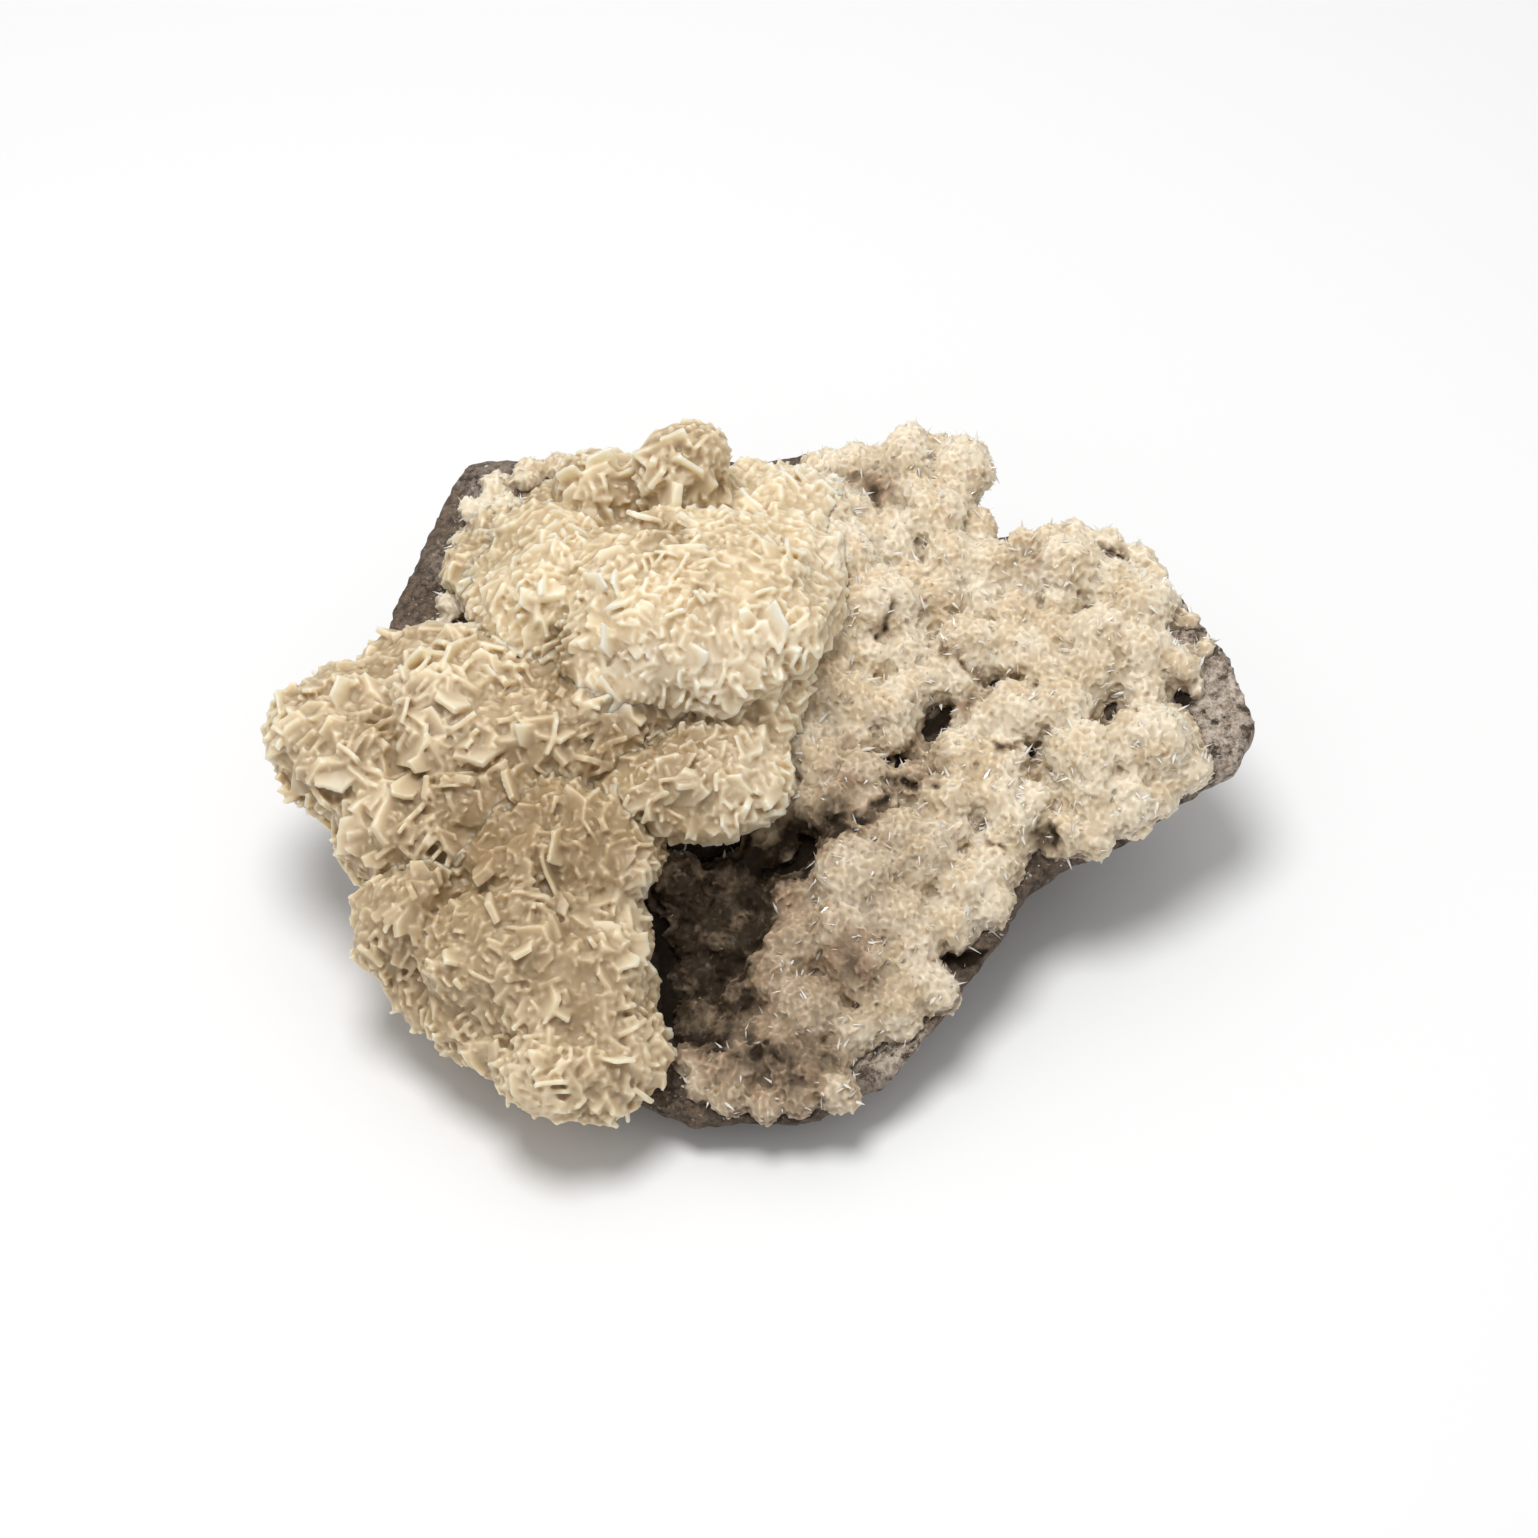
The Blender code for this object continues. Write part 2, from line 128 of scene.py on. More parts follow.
# The three parts of the bladed mass with their styles, and the cores under the plates: depth under the
# crystals' tips, voxel, rounds of smoothing, ripples as size and depth, steps of a ball's roundness
PARTS = {"dome": ("dome", "rim", "peak"), "left": ("upper", "left"), "front": ("front",)}
CORE_DEPTH = 1.6
CORE_VOXEL = 0.7
CORE_ROUNDS = 4
CORE_RIPPLES = ((10.0, 1.7), (4.5, 1.2))
BALL_STEPS = 3

# Rounds of smoothing that find the valleys of a core and the crests of its crystals, and how deep or
# high the full ones are; the materials paint shade in the valleys and creases and highlights on the crests
VALLEY_ROUNDS = 90
VALLEY_DEPTH = 1.1
CREST_ROUNDS = 10
CREST_HEIGHT = 0.2
TIP_HEIGHT = 1.5

# Plates: spots tried, the lowest that one grows, the lean of those on edge and of those that show a face,
# the swirls that they follow, how they stand in rows, and their shape
PLATE_TRIES = 20000
PLATE_FLOOR = 2.0
EDGE_LEAN = (60.0, 90.0)
FACE_LEAN = (20.0, 55.0)
SWIRL_PATCH = 6.0
SWIRL_TURNS = 1.5
SWIRL_SHARE = 0.75
SWIRL_SPREAD = 0.3
SWIRL_RISE = (-0.5, 0.5)
SWIRL_SHIFT = Vector((3.3, 1.7, 9.1))
ROW_SHARE = 0.55
ROW_ENDS = (2, 6)
ROW_GAP = (1.6, 2.8)
ROW_FAN = 0.1
ROW_HALVES = (0.6, 1.0)
ROW_RISES = (0.5, 1.05)
PLATE_ASPECT = (0.45, 0.9)
PLATE_TAPER = 0.2
PLATE_HOLD = 1.3

# How sharply the tone changes from one lobe to the next
TONE_SHARPNESS = 12.0

# How deep inside what lies beside it a crystal may start, and how far from the rock a grain stays
DEPTH_IN_PART = 0.3
DEPTH_IN_ROCK = 0.2
DEPTH_IN_CRUST = 0.8
DEPTH_IN_BLADES = 0.2
GAP_TO_ROCK = 0.05

# A plate's outline, in half widths, before it is turned and its corners are moved at random
PLATE_OUTLINE = ((1.0, -0.25), (0.55, 0.8), (-0.5, 0.85), (-1.0, -0.2), (0.1, -0.95))
PLATE_JITTER = 0.25

# The large plates that stand out in the photograph: pixel right, pixel down, half width, thickness, lean,
# the way that their free edge points in the picture, rise above the core
BIG_PLATES = [
    (520, 783, 4.4, 0.8, 54, 200, 2.6), (478, 750, 3.0, 0.7, 51, 270, 2.5),
    (533, 740, 3.0, 0.6, 56, 160, 2.6), (462, 782, 2.8, 0.9, 75, 250, 2.5),
    (488, 867, 2.3, 1.4, 56, 300, 2.5), (450, 700, 3.2, 0.9, 46, 240, 2.3),
    (423, 850, 2.4, 0.9, 51, 180, 2.4), (495, 912, 2.0, 0.8, 70, 200, 2.4),
    (558, 847, 3.2, 0.5, 60, 180, 2.9), (548, 872, 3.2, 0.5, 65, 200, 2.9),
    (643, 800, 3.6, 0.6, 51, 290, 2.5), (695, 783, 2.6, 0.7, 75, 260, 2.6),
    (675, 447, 3.6, 0.7, 60, 90, 2.0), (690, 470, 3.2, 0.6, 65, 60, 2.0),
    (668, 497, 3.3, 1.1, 56, 330, 2.7), (645, 520, 2.6, 0.7, 56, 250, 2.4),
    (597, 587, 3.5, 0.5, 46, 60, 2.2), (772, 627, 3.0, 0.5, 51, 30, 2.4),
    (587, 703, 2.8, 0.5, 51, 260, 1.8), (635, 709, 2.9, 0.5, 48, 270, 1.8),
    (683, 712, 2.8, 0.5, 48, 275, 1.8), (727, 703, 2.8, 0.5, 51, 290, 1.8),
    (610, 640, 2.6, 0.5, 70, 180, 2.4), (690, 655, 2.8, 0.5, 51, 20, 2.4),
    (345, 700, 2.8, 0.6, 56, 160, 2.5), (390, 690, 2.6, 0.7, 54, 60, 2.4),
    (600, 470, 2.9, 0.6, 75, 100, 2.9), (575, 480, 2.6, 0.6, 72, 110, 2.7),
    (627, 478, 2.9, 0.6, 75, 80, 2.9), (430, 760, 2.8, 0.7, 60, 220, 2.5),
    (560, 1010, 2.2, 0.6, 50, 240, 2.3), (620, 960, 2.2, 0.5, 56, 320, 2.2),
    (610, 1060, 2.4, 0.5, 56, 270, 2.3), (455, 960, 2.2, 0.6, 61, 220, 2.3),
    (520, 950, 2.0, 0.7, 65, 300, 2.3), (600, 900, 2.4, 0.5, 54, 290, 2.2),
]

# The tables of marks have rows of pixel right, pixel down, radius in pixels, and a depth or a strength

# How deep the hollows are pressed into the bladed mass
HOLLOWS = [
    (665, 530, 16, 2.5), (727, 486, 10, 1.5), (555, 650, 22, 2.5), (553, 690, 16, 2.0), (590, 738, 14, 2.2),
    (625, 741, 14, 2.2), (665, 741, 14, 2.2), (760, 722, 14, 2.0), (380, 727, 13, 2.0), (562, 818, 14, 2.0),
    (445, 905, 13, 2.0), (470, 830, 12, 1.2), (500, 985, 12, 1.0), (545, 760, 10, 1.0), (700, 590, 14, 1.0),
    (420, 780, 12, 1.2), (570, 930, 12, 1.0), (640, 1010, 12, 1.0), (660, 850, 20, 2.0),
    (500, 560, 14, 1.0),
]

# Where shade is painted onto the bladed mass, as tan
PAINTED_SHADE_MARKS = [
    (490, 860, 70, 0.9), (525, 785, 45, 0.7), (690, 785, 75, 0.75), (670, 745, 30, 0.7),
    (725, 735, 24, 0.6), (410, 935, 50, 0.6), (560, 700, 30, 0.4), (450, 790, 50, 0.35),
    (590, 850, 60, 0.6), (620, 740, 34, 0.8), (530, 960, 50, 0.35), (505, 550, 60, 0.4),
    (500, 495, 40, 0.3), (655, 530, 24, 0.4), (600, 1000, 40, 0.25), (330, 790, 40, 0.3),
    (470, 1010, 50, 0.4),
]

# Where light is painted onto the bladed mass, which turns it paler and takes off its painted shade
PAINTED_LIGHT_MARKS = [
    (640, 880, 24, 0.5), (440, 720, 30, 0.3), (760, 760, 30, 0.5), (730, 800, 30, 0.3), (640, 670, 45, 0.6),
    (710, 665, 40, 0.6), (770, 640, 40, 0.5), (830, 560, 40, 0.6), (825, 640, 35, 0.5), (815, 480, 40, 0.6),
    (400, 690, 24, 0.4),
]

# How noise bends the outline of what is marked round a pixel: size of its bumps, how far they shift, seeds
WARP_SIZE = 2.6
WARP_DEPTH = 2.2
WARP_SEEDS = (80, 81, 82)

# How noise bends the plates, in the same terms
BEND_SIZE = 2.2
BEND_DEPTH = 0.24

# The skins that the crystals melt into: voxel, the most triangles in one, and the angle of a sharp edge
BLADE_VOXEL = 0.2
BLADE_TRIANGLES = 170000
BLADE_ROUNDS = {"dome": 1, "left": 1, "front": 2}
GRAIN_VOXEL = 0.24
GRAIN_TRIANGLES = 190000
SHARP = 40.0

# The lumps of the druse as the photograph shows them: pixel right, pixel down, radius in pixels
DRUSE_LUMPS = [
    (828, 470, 22), (857, 463, 21), (907, 457, 30), (967, 467, 32), (840, 515, 28), (890, 540, 27),
    (940, 517, 27), (977, 527, 20), (877, 607, 40), (953, 560, 27), (993, 567, 23), (937, 593, 23),
    (980, 597, 23), (1013, 607, 23), (1033, 580, 23), (1070, 567, 30), (1113, 583, 27), (1143, 607, 30),
    (1053, 633, 23), (1100, 637, 30), (1140, 653, 30), (1173, 667, 20), (967, 650, 33), (1013, 647, 27),
    (940, 673, 23), (910, 687, 23), (1050, 668, 25), (1093, 670, 28), (1143, 693, 23), (847, 697, 30),
    (887, 713, 27), (853, 740, 22), (897, 740, 20), (980, 720, 23), (1013, 713, 30), (1063, 707, 30),
    (960, 753, 26), (1000, 767, 27), (1080, 760, 33), (1150, 740, 37), (1180, 757, 16), (1172, 778, 18),
    (825, 765, 28), (860, 776, 28), (832, 806, 30), (868, 806, 26), (910, 783, 17), (947, 803, 26),
    (997, 797, 25), (1033, 803, 18), (1090, 790, 27), (1130, 793, 24), (1100, 815, 20), (900, 836, 26),
    (940, 832, 26), (1013, 825, 24), (1062, 835, 18), (847, 850, 28), (890, 873, 30), (923, 860, 30),
    (967, 883, 28), (993, 862, 25), (988, 900, 20), (854, 880, 40), (894, 914, 29), (945, 926, 26),
    (800, 943, 29), (843, 931, 34), (780, 977, 31), (860, 966, 36), (912, 950, 26), (918, 980, 24),
    (938, 992, 18), (806, 1011, 33), (886, 1004, 24), (856, 1028, 20), (740, 1003, 24), (729, 1036, 18),
    (768, 1030, 18), (780, 1052, 23), (803, 1066, 22), (835, 1061, 16), (717, 1068, 20), (742, 1077, 16),
    (788, 1080, 17), (677, 883, 26), (740, 894, 26), (712, 937, 26), (745, 945, 22), (700, 985, 22),
    (708, 1030, 18), (790, 900, 24), (770, 850, 26), (800, 740, 26), (805, 660, 28), (815, 590, 26),
    (800, 810, 24), (868, 652, 26), (905, 652, 22), (862, 548, 24), (1190, 768, 17), (1163, 795, 16),
    (1130, 817, 16), (1096, 838, 14), (955, 680, 20), (905, 585, 22), (955, 490, 22), (915, 500, 20),
    (960, 775, 16), (1060, 600, 18), (497, 492, 13), (530, 480, 13), (560, 474, 13), (480, 520, 14),
    (470, 550, 14), (463, 580, 13), (452, 610, 12), (510, 520, 16), (495, 560, 16), (440, 634, 10),
    (590, 468, 12), (830, 520, 34), (838, 575, 36), (835, 630, 36), (825, 690, 34), (808, 745, 30),
    (785, 715, 22), (705, 1083, 16), (730, 1096, 14), (765, 1102, 14), (800, 1097, 16), (835, 1090, 16),
    (690, 1058, 14), (692, 902, 20), (700, 925, 18), (690, 948, 20), (704, 968, 18), (690, 985, 18),
    (714, 1000, 18), (694, 1020, 16), (726, 960, 20), (736, 980, 16), (760, 930, 18), (742, 915, 18),
    (770, 905, 20), (722, 880, 20), (752, 870, 20), (690, 1038, 14), (740, 1058, 16), (1075, 541, 14),
    (1105, 549, 14), (1045, 546, 13), (1022, 548, 11), (1135, 565, 13), (1155, 580, 12), (1205, 650, 8),
    (1190, 625, 9), (1198, 690, 8), (1172, 600, 9), (878, 492, 17), (852, 490, 14),
]

# A lump, in radii: wide and tall, the same for its foot, how far behind what is seen its foot stands,
# its lift from the rock, its stretch, its tufts' number, size, place and lowest tilt
LUMP_SHARES = (0.94, 0.92)
FOOT_SHARES = (1.3, 0.4)
LUMP_SINK = 0.45
LUMP_LIFT = (0.3, 0.65)
LUMP_STRETCH = 0.18
TUFTS = 13
TUFT_SHARE = (0.22, 0.36)
TUFT_PLACE = (0.95, 0.65)
TUFT_TILT = -0.1
DRUSE_VOXEL = 0.4
DRUSE_RIPPLES = ((4.0, 0.5), (1.8, 0.35), (0.8, 0.12))
DRUSE_ROUNDS = 1

# The height above the rock at which the painted shade at the druse's foot ends
SHADED_HEIGHT = 3.5

# How deep the crevices are pressed into the druse
CREVICES = [
    (878, 488, 12, 0.6), (848, 483, 9, 0.6), (975, 500, 9, 1.0), (1070, 617, 8, 1.5), (847, 587, 10, 1.0),
    (1105, 720, 8, 1.2), (1177, 702, 9, 1.4), (820, 840, 14, 1.8), (800, 850, 14, 1.8), (848, 1003, 9, 1.8),
    (751, 1020, 8, 1.8), (800, 1045, 8, 1.8), (825, 1048, 7, 1.8), (850, 968, 20, 1.3), (700, 960, 26, 0.8),
    (745, 905, 26, 0.8), (775, 870, 20, 1.2), (690, 1000, 18, 0.8), (703, 1020, 12, 1.8),
    (1127, 831, 8, 1.3), (1050, 843, 9, 1.8),
]

# Cracks in the druse, each along a line: its two ends in pixels, radius in pixels, depth
CRACKS = [
    (1000, 688, 950, 716, 7, 1.5), (950, 716, 926, 734, 8, 1.6), (926, 734, 902, 768, 6, 1.5),
    (902, 768, 942, 786, 7, 1.6), (902, 768, 868, 818, 6, 1.5), (868, 818, 800, 848, 7, 1.4),
    (932, 645, 900, 668, 5, 1.2), (1040, 747, 1020, 780, 6, 1.5), (1020, 752, 985, 742, 5, 1.1),
    (1048, 808, 1052, 843, 7, 1.6), (985, 838, 1000, 846, 6, 1.5), (935, 957, 985, 955, 6, 1.5),
    (1110, 716, 1150, 708, 4, 1.0), (1150, 708, 1180, 702, 5, 1.1), (940, 640, 990, 690, 5, 1.0),
    (870, 640, 900, 600, 5, 1.0), (890, 760, 840, 745, 5, 1.0), (720, 1050, 770, 1048, 6, 1.3),
]
# How brown the cracks are made: painted shade, and stain
CRACK_STAIN_AND_SHADE = 0.55

# How brown the druse is: stains, and painted shade in the cavity and along the cracks
STAINS_AND_PAINTED_SHADE = [
    (700, 960, 50, 1.3), (740, 900, 50, 1.3), (785, 860, 40, 1.1), (830, 830, 30, 0.7),
    (690, 1020, 34, 1.2), (720, 1000, 40, 0.7), (860, 968, 34, 0.45), (780, 1040, 55, 0.36),
    (800, 960, 50, 0.25), (760, 1085, 45, 0.4), (715, 1065, 34, 0.35), (800, 1075, 30, 0.2),
    (878, 488, 22, 0.8), (848, 483, 12, 0.6), (950, 720, 24, 0.5), (920, 770, 26, 0.55),
    (860, 740, 40, 0.2), (850, 790, 40, 0.25), (880, 817, 16, 0.6), (1050, 843, 18, 0.6),
    (900, 850, 60, 0.18), (1030, 560, 18, 0.6), (880, 900, 80, 0.1), (850, 960, 60, 0.12),
    (672, 885, 30, 1.0), (950, 640, 30, 0.12), (1090, 660, 60, 0.08), (985, 510, 14, 0.3),
    (1105, 720, 14, 0.35), (1177, 702, 18, 0.5), (820, 1075, 30, 0.4), (950, 960, 16, 0.5),
]

# How crystals grow on the druse: how many for a square mm, half length, half width, lean away from the lump
# in degrees, least lift. Fine ones, and the clear ones that glint.
Growth = namedtuple("Growth", "density lengths widths leans least_lift")
FINE = Growth(5.5, (0.4, 1.15), (0.13, 0.24), (15.0, 80.0), 0.0)
CLEAR = Growth(0.18, (0.6, 1.5), (0.13, 0.25), (25.0, 68.0), 0.22)

# Their further lift in half lengths, how flat they are, and how far their middle is off
GRAIN_LIFT = (-0.3, 0.35)
GRAIN_FLATNESS = (0.35, 0.8)
GRAIN_SKEW = 0.35

# The rock: voxel, ripples as size and depth, height of the foot that stays flat
ROCK_VOXEL = 0.62
ROCK_RIPPLES = ((7.0, 0.5), (2.6, 0.4), (1.3, 0.28))
ROCK_FOOT = 0.3

# Pale dust on the rock
DUST = [
    (1225, 700, 60, 1.0), (1205, 640, 45, 0.9), (1240, 740, 40, 0.9), (1180, 600, 40, 0.6),
    (1215, 770, 40, 0.6), (1060, 545, 50, 0.7), (1120, 560, 40, 0.8), (1020, 555, 30, 0.5),
    (895, 1052, 45, 1.0), (500, 490, 40, 0.6), (450, 570, 22, 0.4), (415, 660, 30, 0.5),
]

# Crystals on the bare rock: how many are tried, how far from a crust they reach, the most stain and the
# least upward facing of the rock there, their lean, half length, half width and brown
FRINGE_TRIES = 9000
FRINGE_REACH = 2.5
FRINGE_STAIN = 0.25
FRINGE_FACING = 0.2
FRINGE_LEAN = (20.0, 90.0)
FRINGE_LENGTH = (0.25, 0.6)
FRINGE_WIDTH = (0.1, 0.22)
FRINGE_TONE = 0.1

# Seeds of the random draws and of the ripples
PLATE_SEED = 7
LUMP_SEED = 11
GRAIN_SEED = 17
FRINGE_SEED = 23
ROCK_RIPPLE_SEED = 20
CORE_RIPPLE_SEED = 40
DRUSE_RIPPLE_SEED = 60

# Lights as name, place, size and watts, where they aim, the strength of the white surround, and the
# floor's white and half side, with lengths in metres
LIGHTS = (("overhead", (-0.065, -0.02, 0.62), 0.26, 2.6), ("soft_top", (0.0, 0.35, 0.9), 0.8, 0.7))
LIGHTS_AIM = Vector((0.0, 0.0, 0.02))
SURROUND = 0.52
FLOOR_WHITE = 0.85
FLOOR_HALF = 3


def millimetres(mesh):
    """A mesh's points and point normals as arrays, in millimetres."""
    points = np.empty(len(mesh.vertices) * 3)
    normals = np.empty(len(mesh.vertices) * 3)
    mesh.vertices.foreach_get("co", points)
    mesh.vertices.foreach_get("normal", normals)
    return points.reshape(-1, 3) / MM, normals.reshape(-1, 3)


def place_points(mesh, points):
    """Moves a mesh's points to these, in millimetres."""
    mesh.vertices.foreach_set("co", (points * MM).ravel())
    mesh.update()


def surface_tree(obj):
    """A search tree of an object's surface, in millimetres."""
    points, _ = millimetres(obj.data)
    return BVHTree.FromPolygons(points.tolist(), [tuple(p.vertices) for p in obj.data.polygons])


def depth_under(tree, point):
    """How far a point is inside a closed surface, less than 0 outside."""
    start = Vector(point)
    distance = tree.find_nearest(start)[3]
    inside = False
    spot = tree.ray_cast(start, SKEWED)[0]
    while spot is not None:
        inside = not inside
        spot = tree.ray_cast(spot + SKEWED * 1e-4, SKEWED)[0]
    return distance if inside else -distance


def noise_at(points, size, seed):
    """Smooth noise from -1 to 1 at many points, with bumps about size across."""
    shift = Vector((seed * 7.3, seed * 3.1, seed * 5.7))
    return np.array([noise.noise(Vector(p) / size + shift) for p in points])


def joined_mesh(name, points, faces):
    """A mesh from points in millimetres and arrays of faces by corner count."""
    mesh = bpy.data.meshes.new(name)
    counts = np.concatenate([np.full(len(f), f.shape[1]) for f in faces])
    corners = np.concatenate([f.ravel() for f in faces])
    mesh.vertices.add(len(points))
    mesh.vertices.foreach_set("co", (points * MM).astype(np.float32).ravel())
    mesh.loops.add(len(corners))
    mesh.loops.foreach_set("vertex_index", corners.astype(np.int32))
    mesh.polygons.add(len(counts))
    mesh.polygons.foreach_set("loop_start", (np.cumsum(counts) - counts).astype(np.int32))
    mesh.update(calc_edges=True)
    mesh.shade_flat()
    return mesh


def placed(name, data):
    """An object in the scene that shows a mesh, a light or a camera."""
    made = bpy.data.objects.new(name, data)
    bpy.context.scene.collection.objects.link(made)
    return made


def shade_points(obj, shade, values):
    """Gives every point of an object a value from 0 to 1 that its material reads."""
    layer = obj.data.attributes.new(shade, "FLOAT", "POINT")
    layer.data.foreach_set("value", np.clip(values, 0, 1).astype(np.float32))


def apply_modifiers(obj):
    """Applies an object's modifiers."""
    graph = bpy.context.evaluated_depsgraph_get()
    mesh = bpy.data.meshes.new_from_object(obj.evaluated_get(graph))
    obj.modifiers.clear()
    obj.data = mesh


def melted(name, mesh, voxel, rounds):
    """Melts the overlapping closed shapes of a mesh into one smooth skin."""
    made = placed(name, mesh)
    skin = made.modifiers.new("one_skin", "REMESH")
    skin.mode = "VOXEL"
    skin.voxel_size = voxel * MM
    soften(made, rounds)
    apply_modifiers(made)
    made.data.shade_smooth()
    return made


def soften(obj, rounds):
    """Adds rounds of smoothing to an object."""
    soft = obj.modifiers.new("soften", "SMOOTH")
    soft.factor = 0.5
    soft.iterations = rounds


def crystal_skin(name, core, crystals, voxel, most, rounds):
    """Melts crystals and the core that they grow from into one skin with few enough triangles."""
    bm = bmesh.new()
    bm.from_mesh(core.data)
    bm.from_mesh(crystals)
    mesh = bpy.data.meshes.new(name)
    bm.to_mesh(mesh)
    bm.free()
    made = melted(name, mesh, voxel, rounds)
    made.data.calc_loop_triangles()
    fewer = made.modifiers.new("fewer", "DECIMATE")
    fewer.ratio = min(1.0, most / len(made.data.loop_triangles))
    apply_modifiers(made)
    made.data.shade_smooth()
    return made


def heights(obj, rounds):
    """How far each point of a skin stands above a smoothed copy of it."""
    soft = placed("soft", obj.data.copy())
    soften(soft, rounds)
    apply_modifiers(soft)
    points, _ = millimetres(obj.data)
    smooth, normals = millimetres(soft.data)
    bpy.data.objects.remove(soft)
    return ((points - smooth) * normals).sum(1)


def shade_relief(skin, core, tree):
    """Gives a skin the valleys of its core and the crests and creases of its own crystals, for painted shade
    and highlights.
    """
    points, _ = millimetres(skin.data)
    valleys = -carried(tree, core, heights(core, VALLEY_ROUNDS), points) / VALLEY_DEPTH
    shade_points(skin, "valley", valleys)
    crests = heights(skin, CREST_ROUNDS) / CREST_HEIGHT
    shade_points(skin, "crest", crests)
    shade_points(skin, "crease", -crests)


def carried(tree, core, values, points):
    """The values that a core's points have where these other points are nearest to it."""
    first = [polygon.vertices[0] for polygon in core.data.polygons]
    return values[[first[tree.find_nearest(Vector(p))[2]] for p in points.tolist()]]


def distances(tree, points):
    """How far points are from a surface."""
    return np.array([tree.find_nearest(Vector(p))[3] for p in points.tolist()])


def ripple(obj, ripples, seed, keep=None):
    """Pushes every point of a skin along its normal by layers of noise, each with a size and a depth."""
    points, normals = millimetres(obj.data)
    push = sum(depth * noise_at(points, size, seed + i) for i, (size, depth) in enumerate(ripples))
    if keep is not None:
        push = np.where(keep(points), 0.0, push)
    place_points(obj.data, points + normals * push[:, None])


def balls_mesh(name, balls):
    """Balls as one mesh, each from its centre, three half sizes and a turn."""
    bm = bmesh.new()
    bmesh.ops.create_icosphere(bm, subdivisions=BALL_STEPS, radius=1.0)
    bm.verts.index_update()
    ball = np.array([v.co for v in bm.verts])
    sides = np.array([[v.index for v in f.verts] for f in bm.faces])
    bm.free()
    points = [(ball * sizes) @ np.array(turn).T + np.array(centre) for centre, sizes, turn in balls]
    faces = [sides + len(ball) * k for k in range(len(balls))]
    return joined_mesh(name, np.concatenate(points), [np.concatenate(faces)])


def scattered(obj, count, rng, density=None):
    """Points at random over a skin, with their normals, by count or by density for a square mm."""
    points, normals = millimetres(obj.data)
    obj.data.calc_loop_triangles()
    corners = np.empty(len(obj.data.loop_triangles) * 3, np.int32)
    obj.data.loop_triangles.foreach_get("vertices", corners)
    corners = corners.reshape(-1, 3)
    a, b, c = (points[corners[:, k]] for k in range(3))
    area = np.linalg.norm(np.cross(b - a, c - a), axis=1)
    if density:
        count = int(density * area.sum())
    chosen = rng.choice(len(corners), count, p=area / area.sum())
    share = rng.dirichlet((1, 1, 1), count)[:, :, None]
    spots = (points[corners[chosen]] * share).sum(1)
    facing = (normals[corners[chosen]] * share).sum(1)
    return spots, facing / np.linalg.norm(facing, axis=1)[:, None]


def thinned(spots, spacings):
    """Which points stay when none may be nearer than its spacing to one before it."""
    widest = max(spacings)
    cells = {}
    stays = []
    for i, (spot, spacing) in enumerate(zip(spots.tolist(), spacings)):
        cell = tuple(int(c // widest) for c in spot)
        near = (
            other
            for dx in (-1, 0, 1)
            for dy in (-1, 0, 1)
            for dz in (-1, 0, 1)
            for other in cells.get((cell[0] + dx, cell[1] + dy, cell[2] + dz), ())
        )
        if all(math.dist(spot, other) > spacing for other in near):
            cells.setdefault(cell, []).append(spot)
            stays.append(i)
    return np.array(stays)


def unit(vectors):
    """Vectors at length 1."""
    return vectors / np.linalg.norm(vectors, axis=-1, keepdims=True)


def plates_mesh(name, plates, rng):
    """All plates as one mesh: flat prisms whose rims lean in a little to one side."""
    spot, normal, flat = (np.array([p[k] for p in plates]) for k in range(3))
    half, rise, thick = (np.array([p[k] for p in plates])[:, None] for k in range(3, 6))
    count = len(plates)
    along = unit(np.cross(flat, normal))
    across = np.cross(along, flat)
    corners = np.array(PLATE_OUTLINE)
    outline = corners + rng.uniform(-PLATE_JITTER, PLATE_JITTER, (count, *corners.shape))
    spin = rng.uniform(0, 2 * math.pi, (count, 1))
    aspect = rng.uniform(*PLATE_ASPECT, (count, 1))
    x, y = outline[:, :, 0], outline[:, :, 1] * aspect
    a = (x * np.cos(spin) - y * np.sin(spin)) * half
    b = (x * np.sin(spin) + y * np.cos(spin)) * half
    steep = np.abs((across * normal).sum(1, keepdims=True))
    flatness = np.abs((flat * normal).sum(1, keepdims=True))
    reach = b.max(1, keepdims=True) * steep + thick / 2 * flatness
    centre = spot + normal * (np.minimum(rise, PLATE_HOLD * reach) - reach)
    rings = []
    for side, inset in ((0.5, rng.uniform(0, PLATE_TAPER, (count, 1))), (-0.5, 0.0)):
        share = 1 - inset / half
        rings.append(
            centre[:, None]
            + along[:, None] * (a * share)[:, :, None]
            + across[:, None] * (b * share)[:, :, None]
            + flat[:, None] * (side * thick)[:, :, None]
        )
    points = np.stack(rings, 1)
    sides = len(PLATE_OUTLINE)
    first = np.arange(count)[:, None] * 2 * sides
    turn = np.arange(sides)
    after = (turn + 1) % sides
    rim = np.stack([sides + turn, sides + after, after, turn], 1)
    faces = [first + turn, first + sides + turn[::-1], (first[:, :, None] + rim[None]).reshape(-1, 4)]
    return joined_mesh(name, points.reshape(-1, 3), faces)


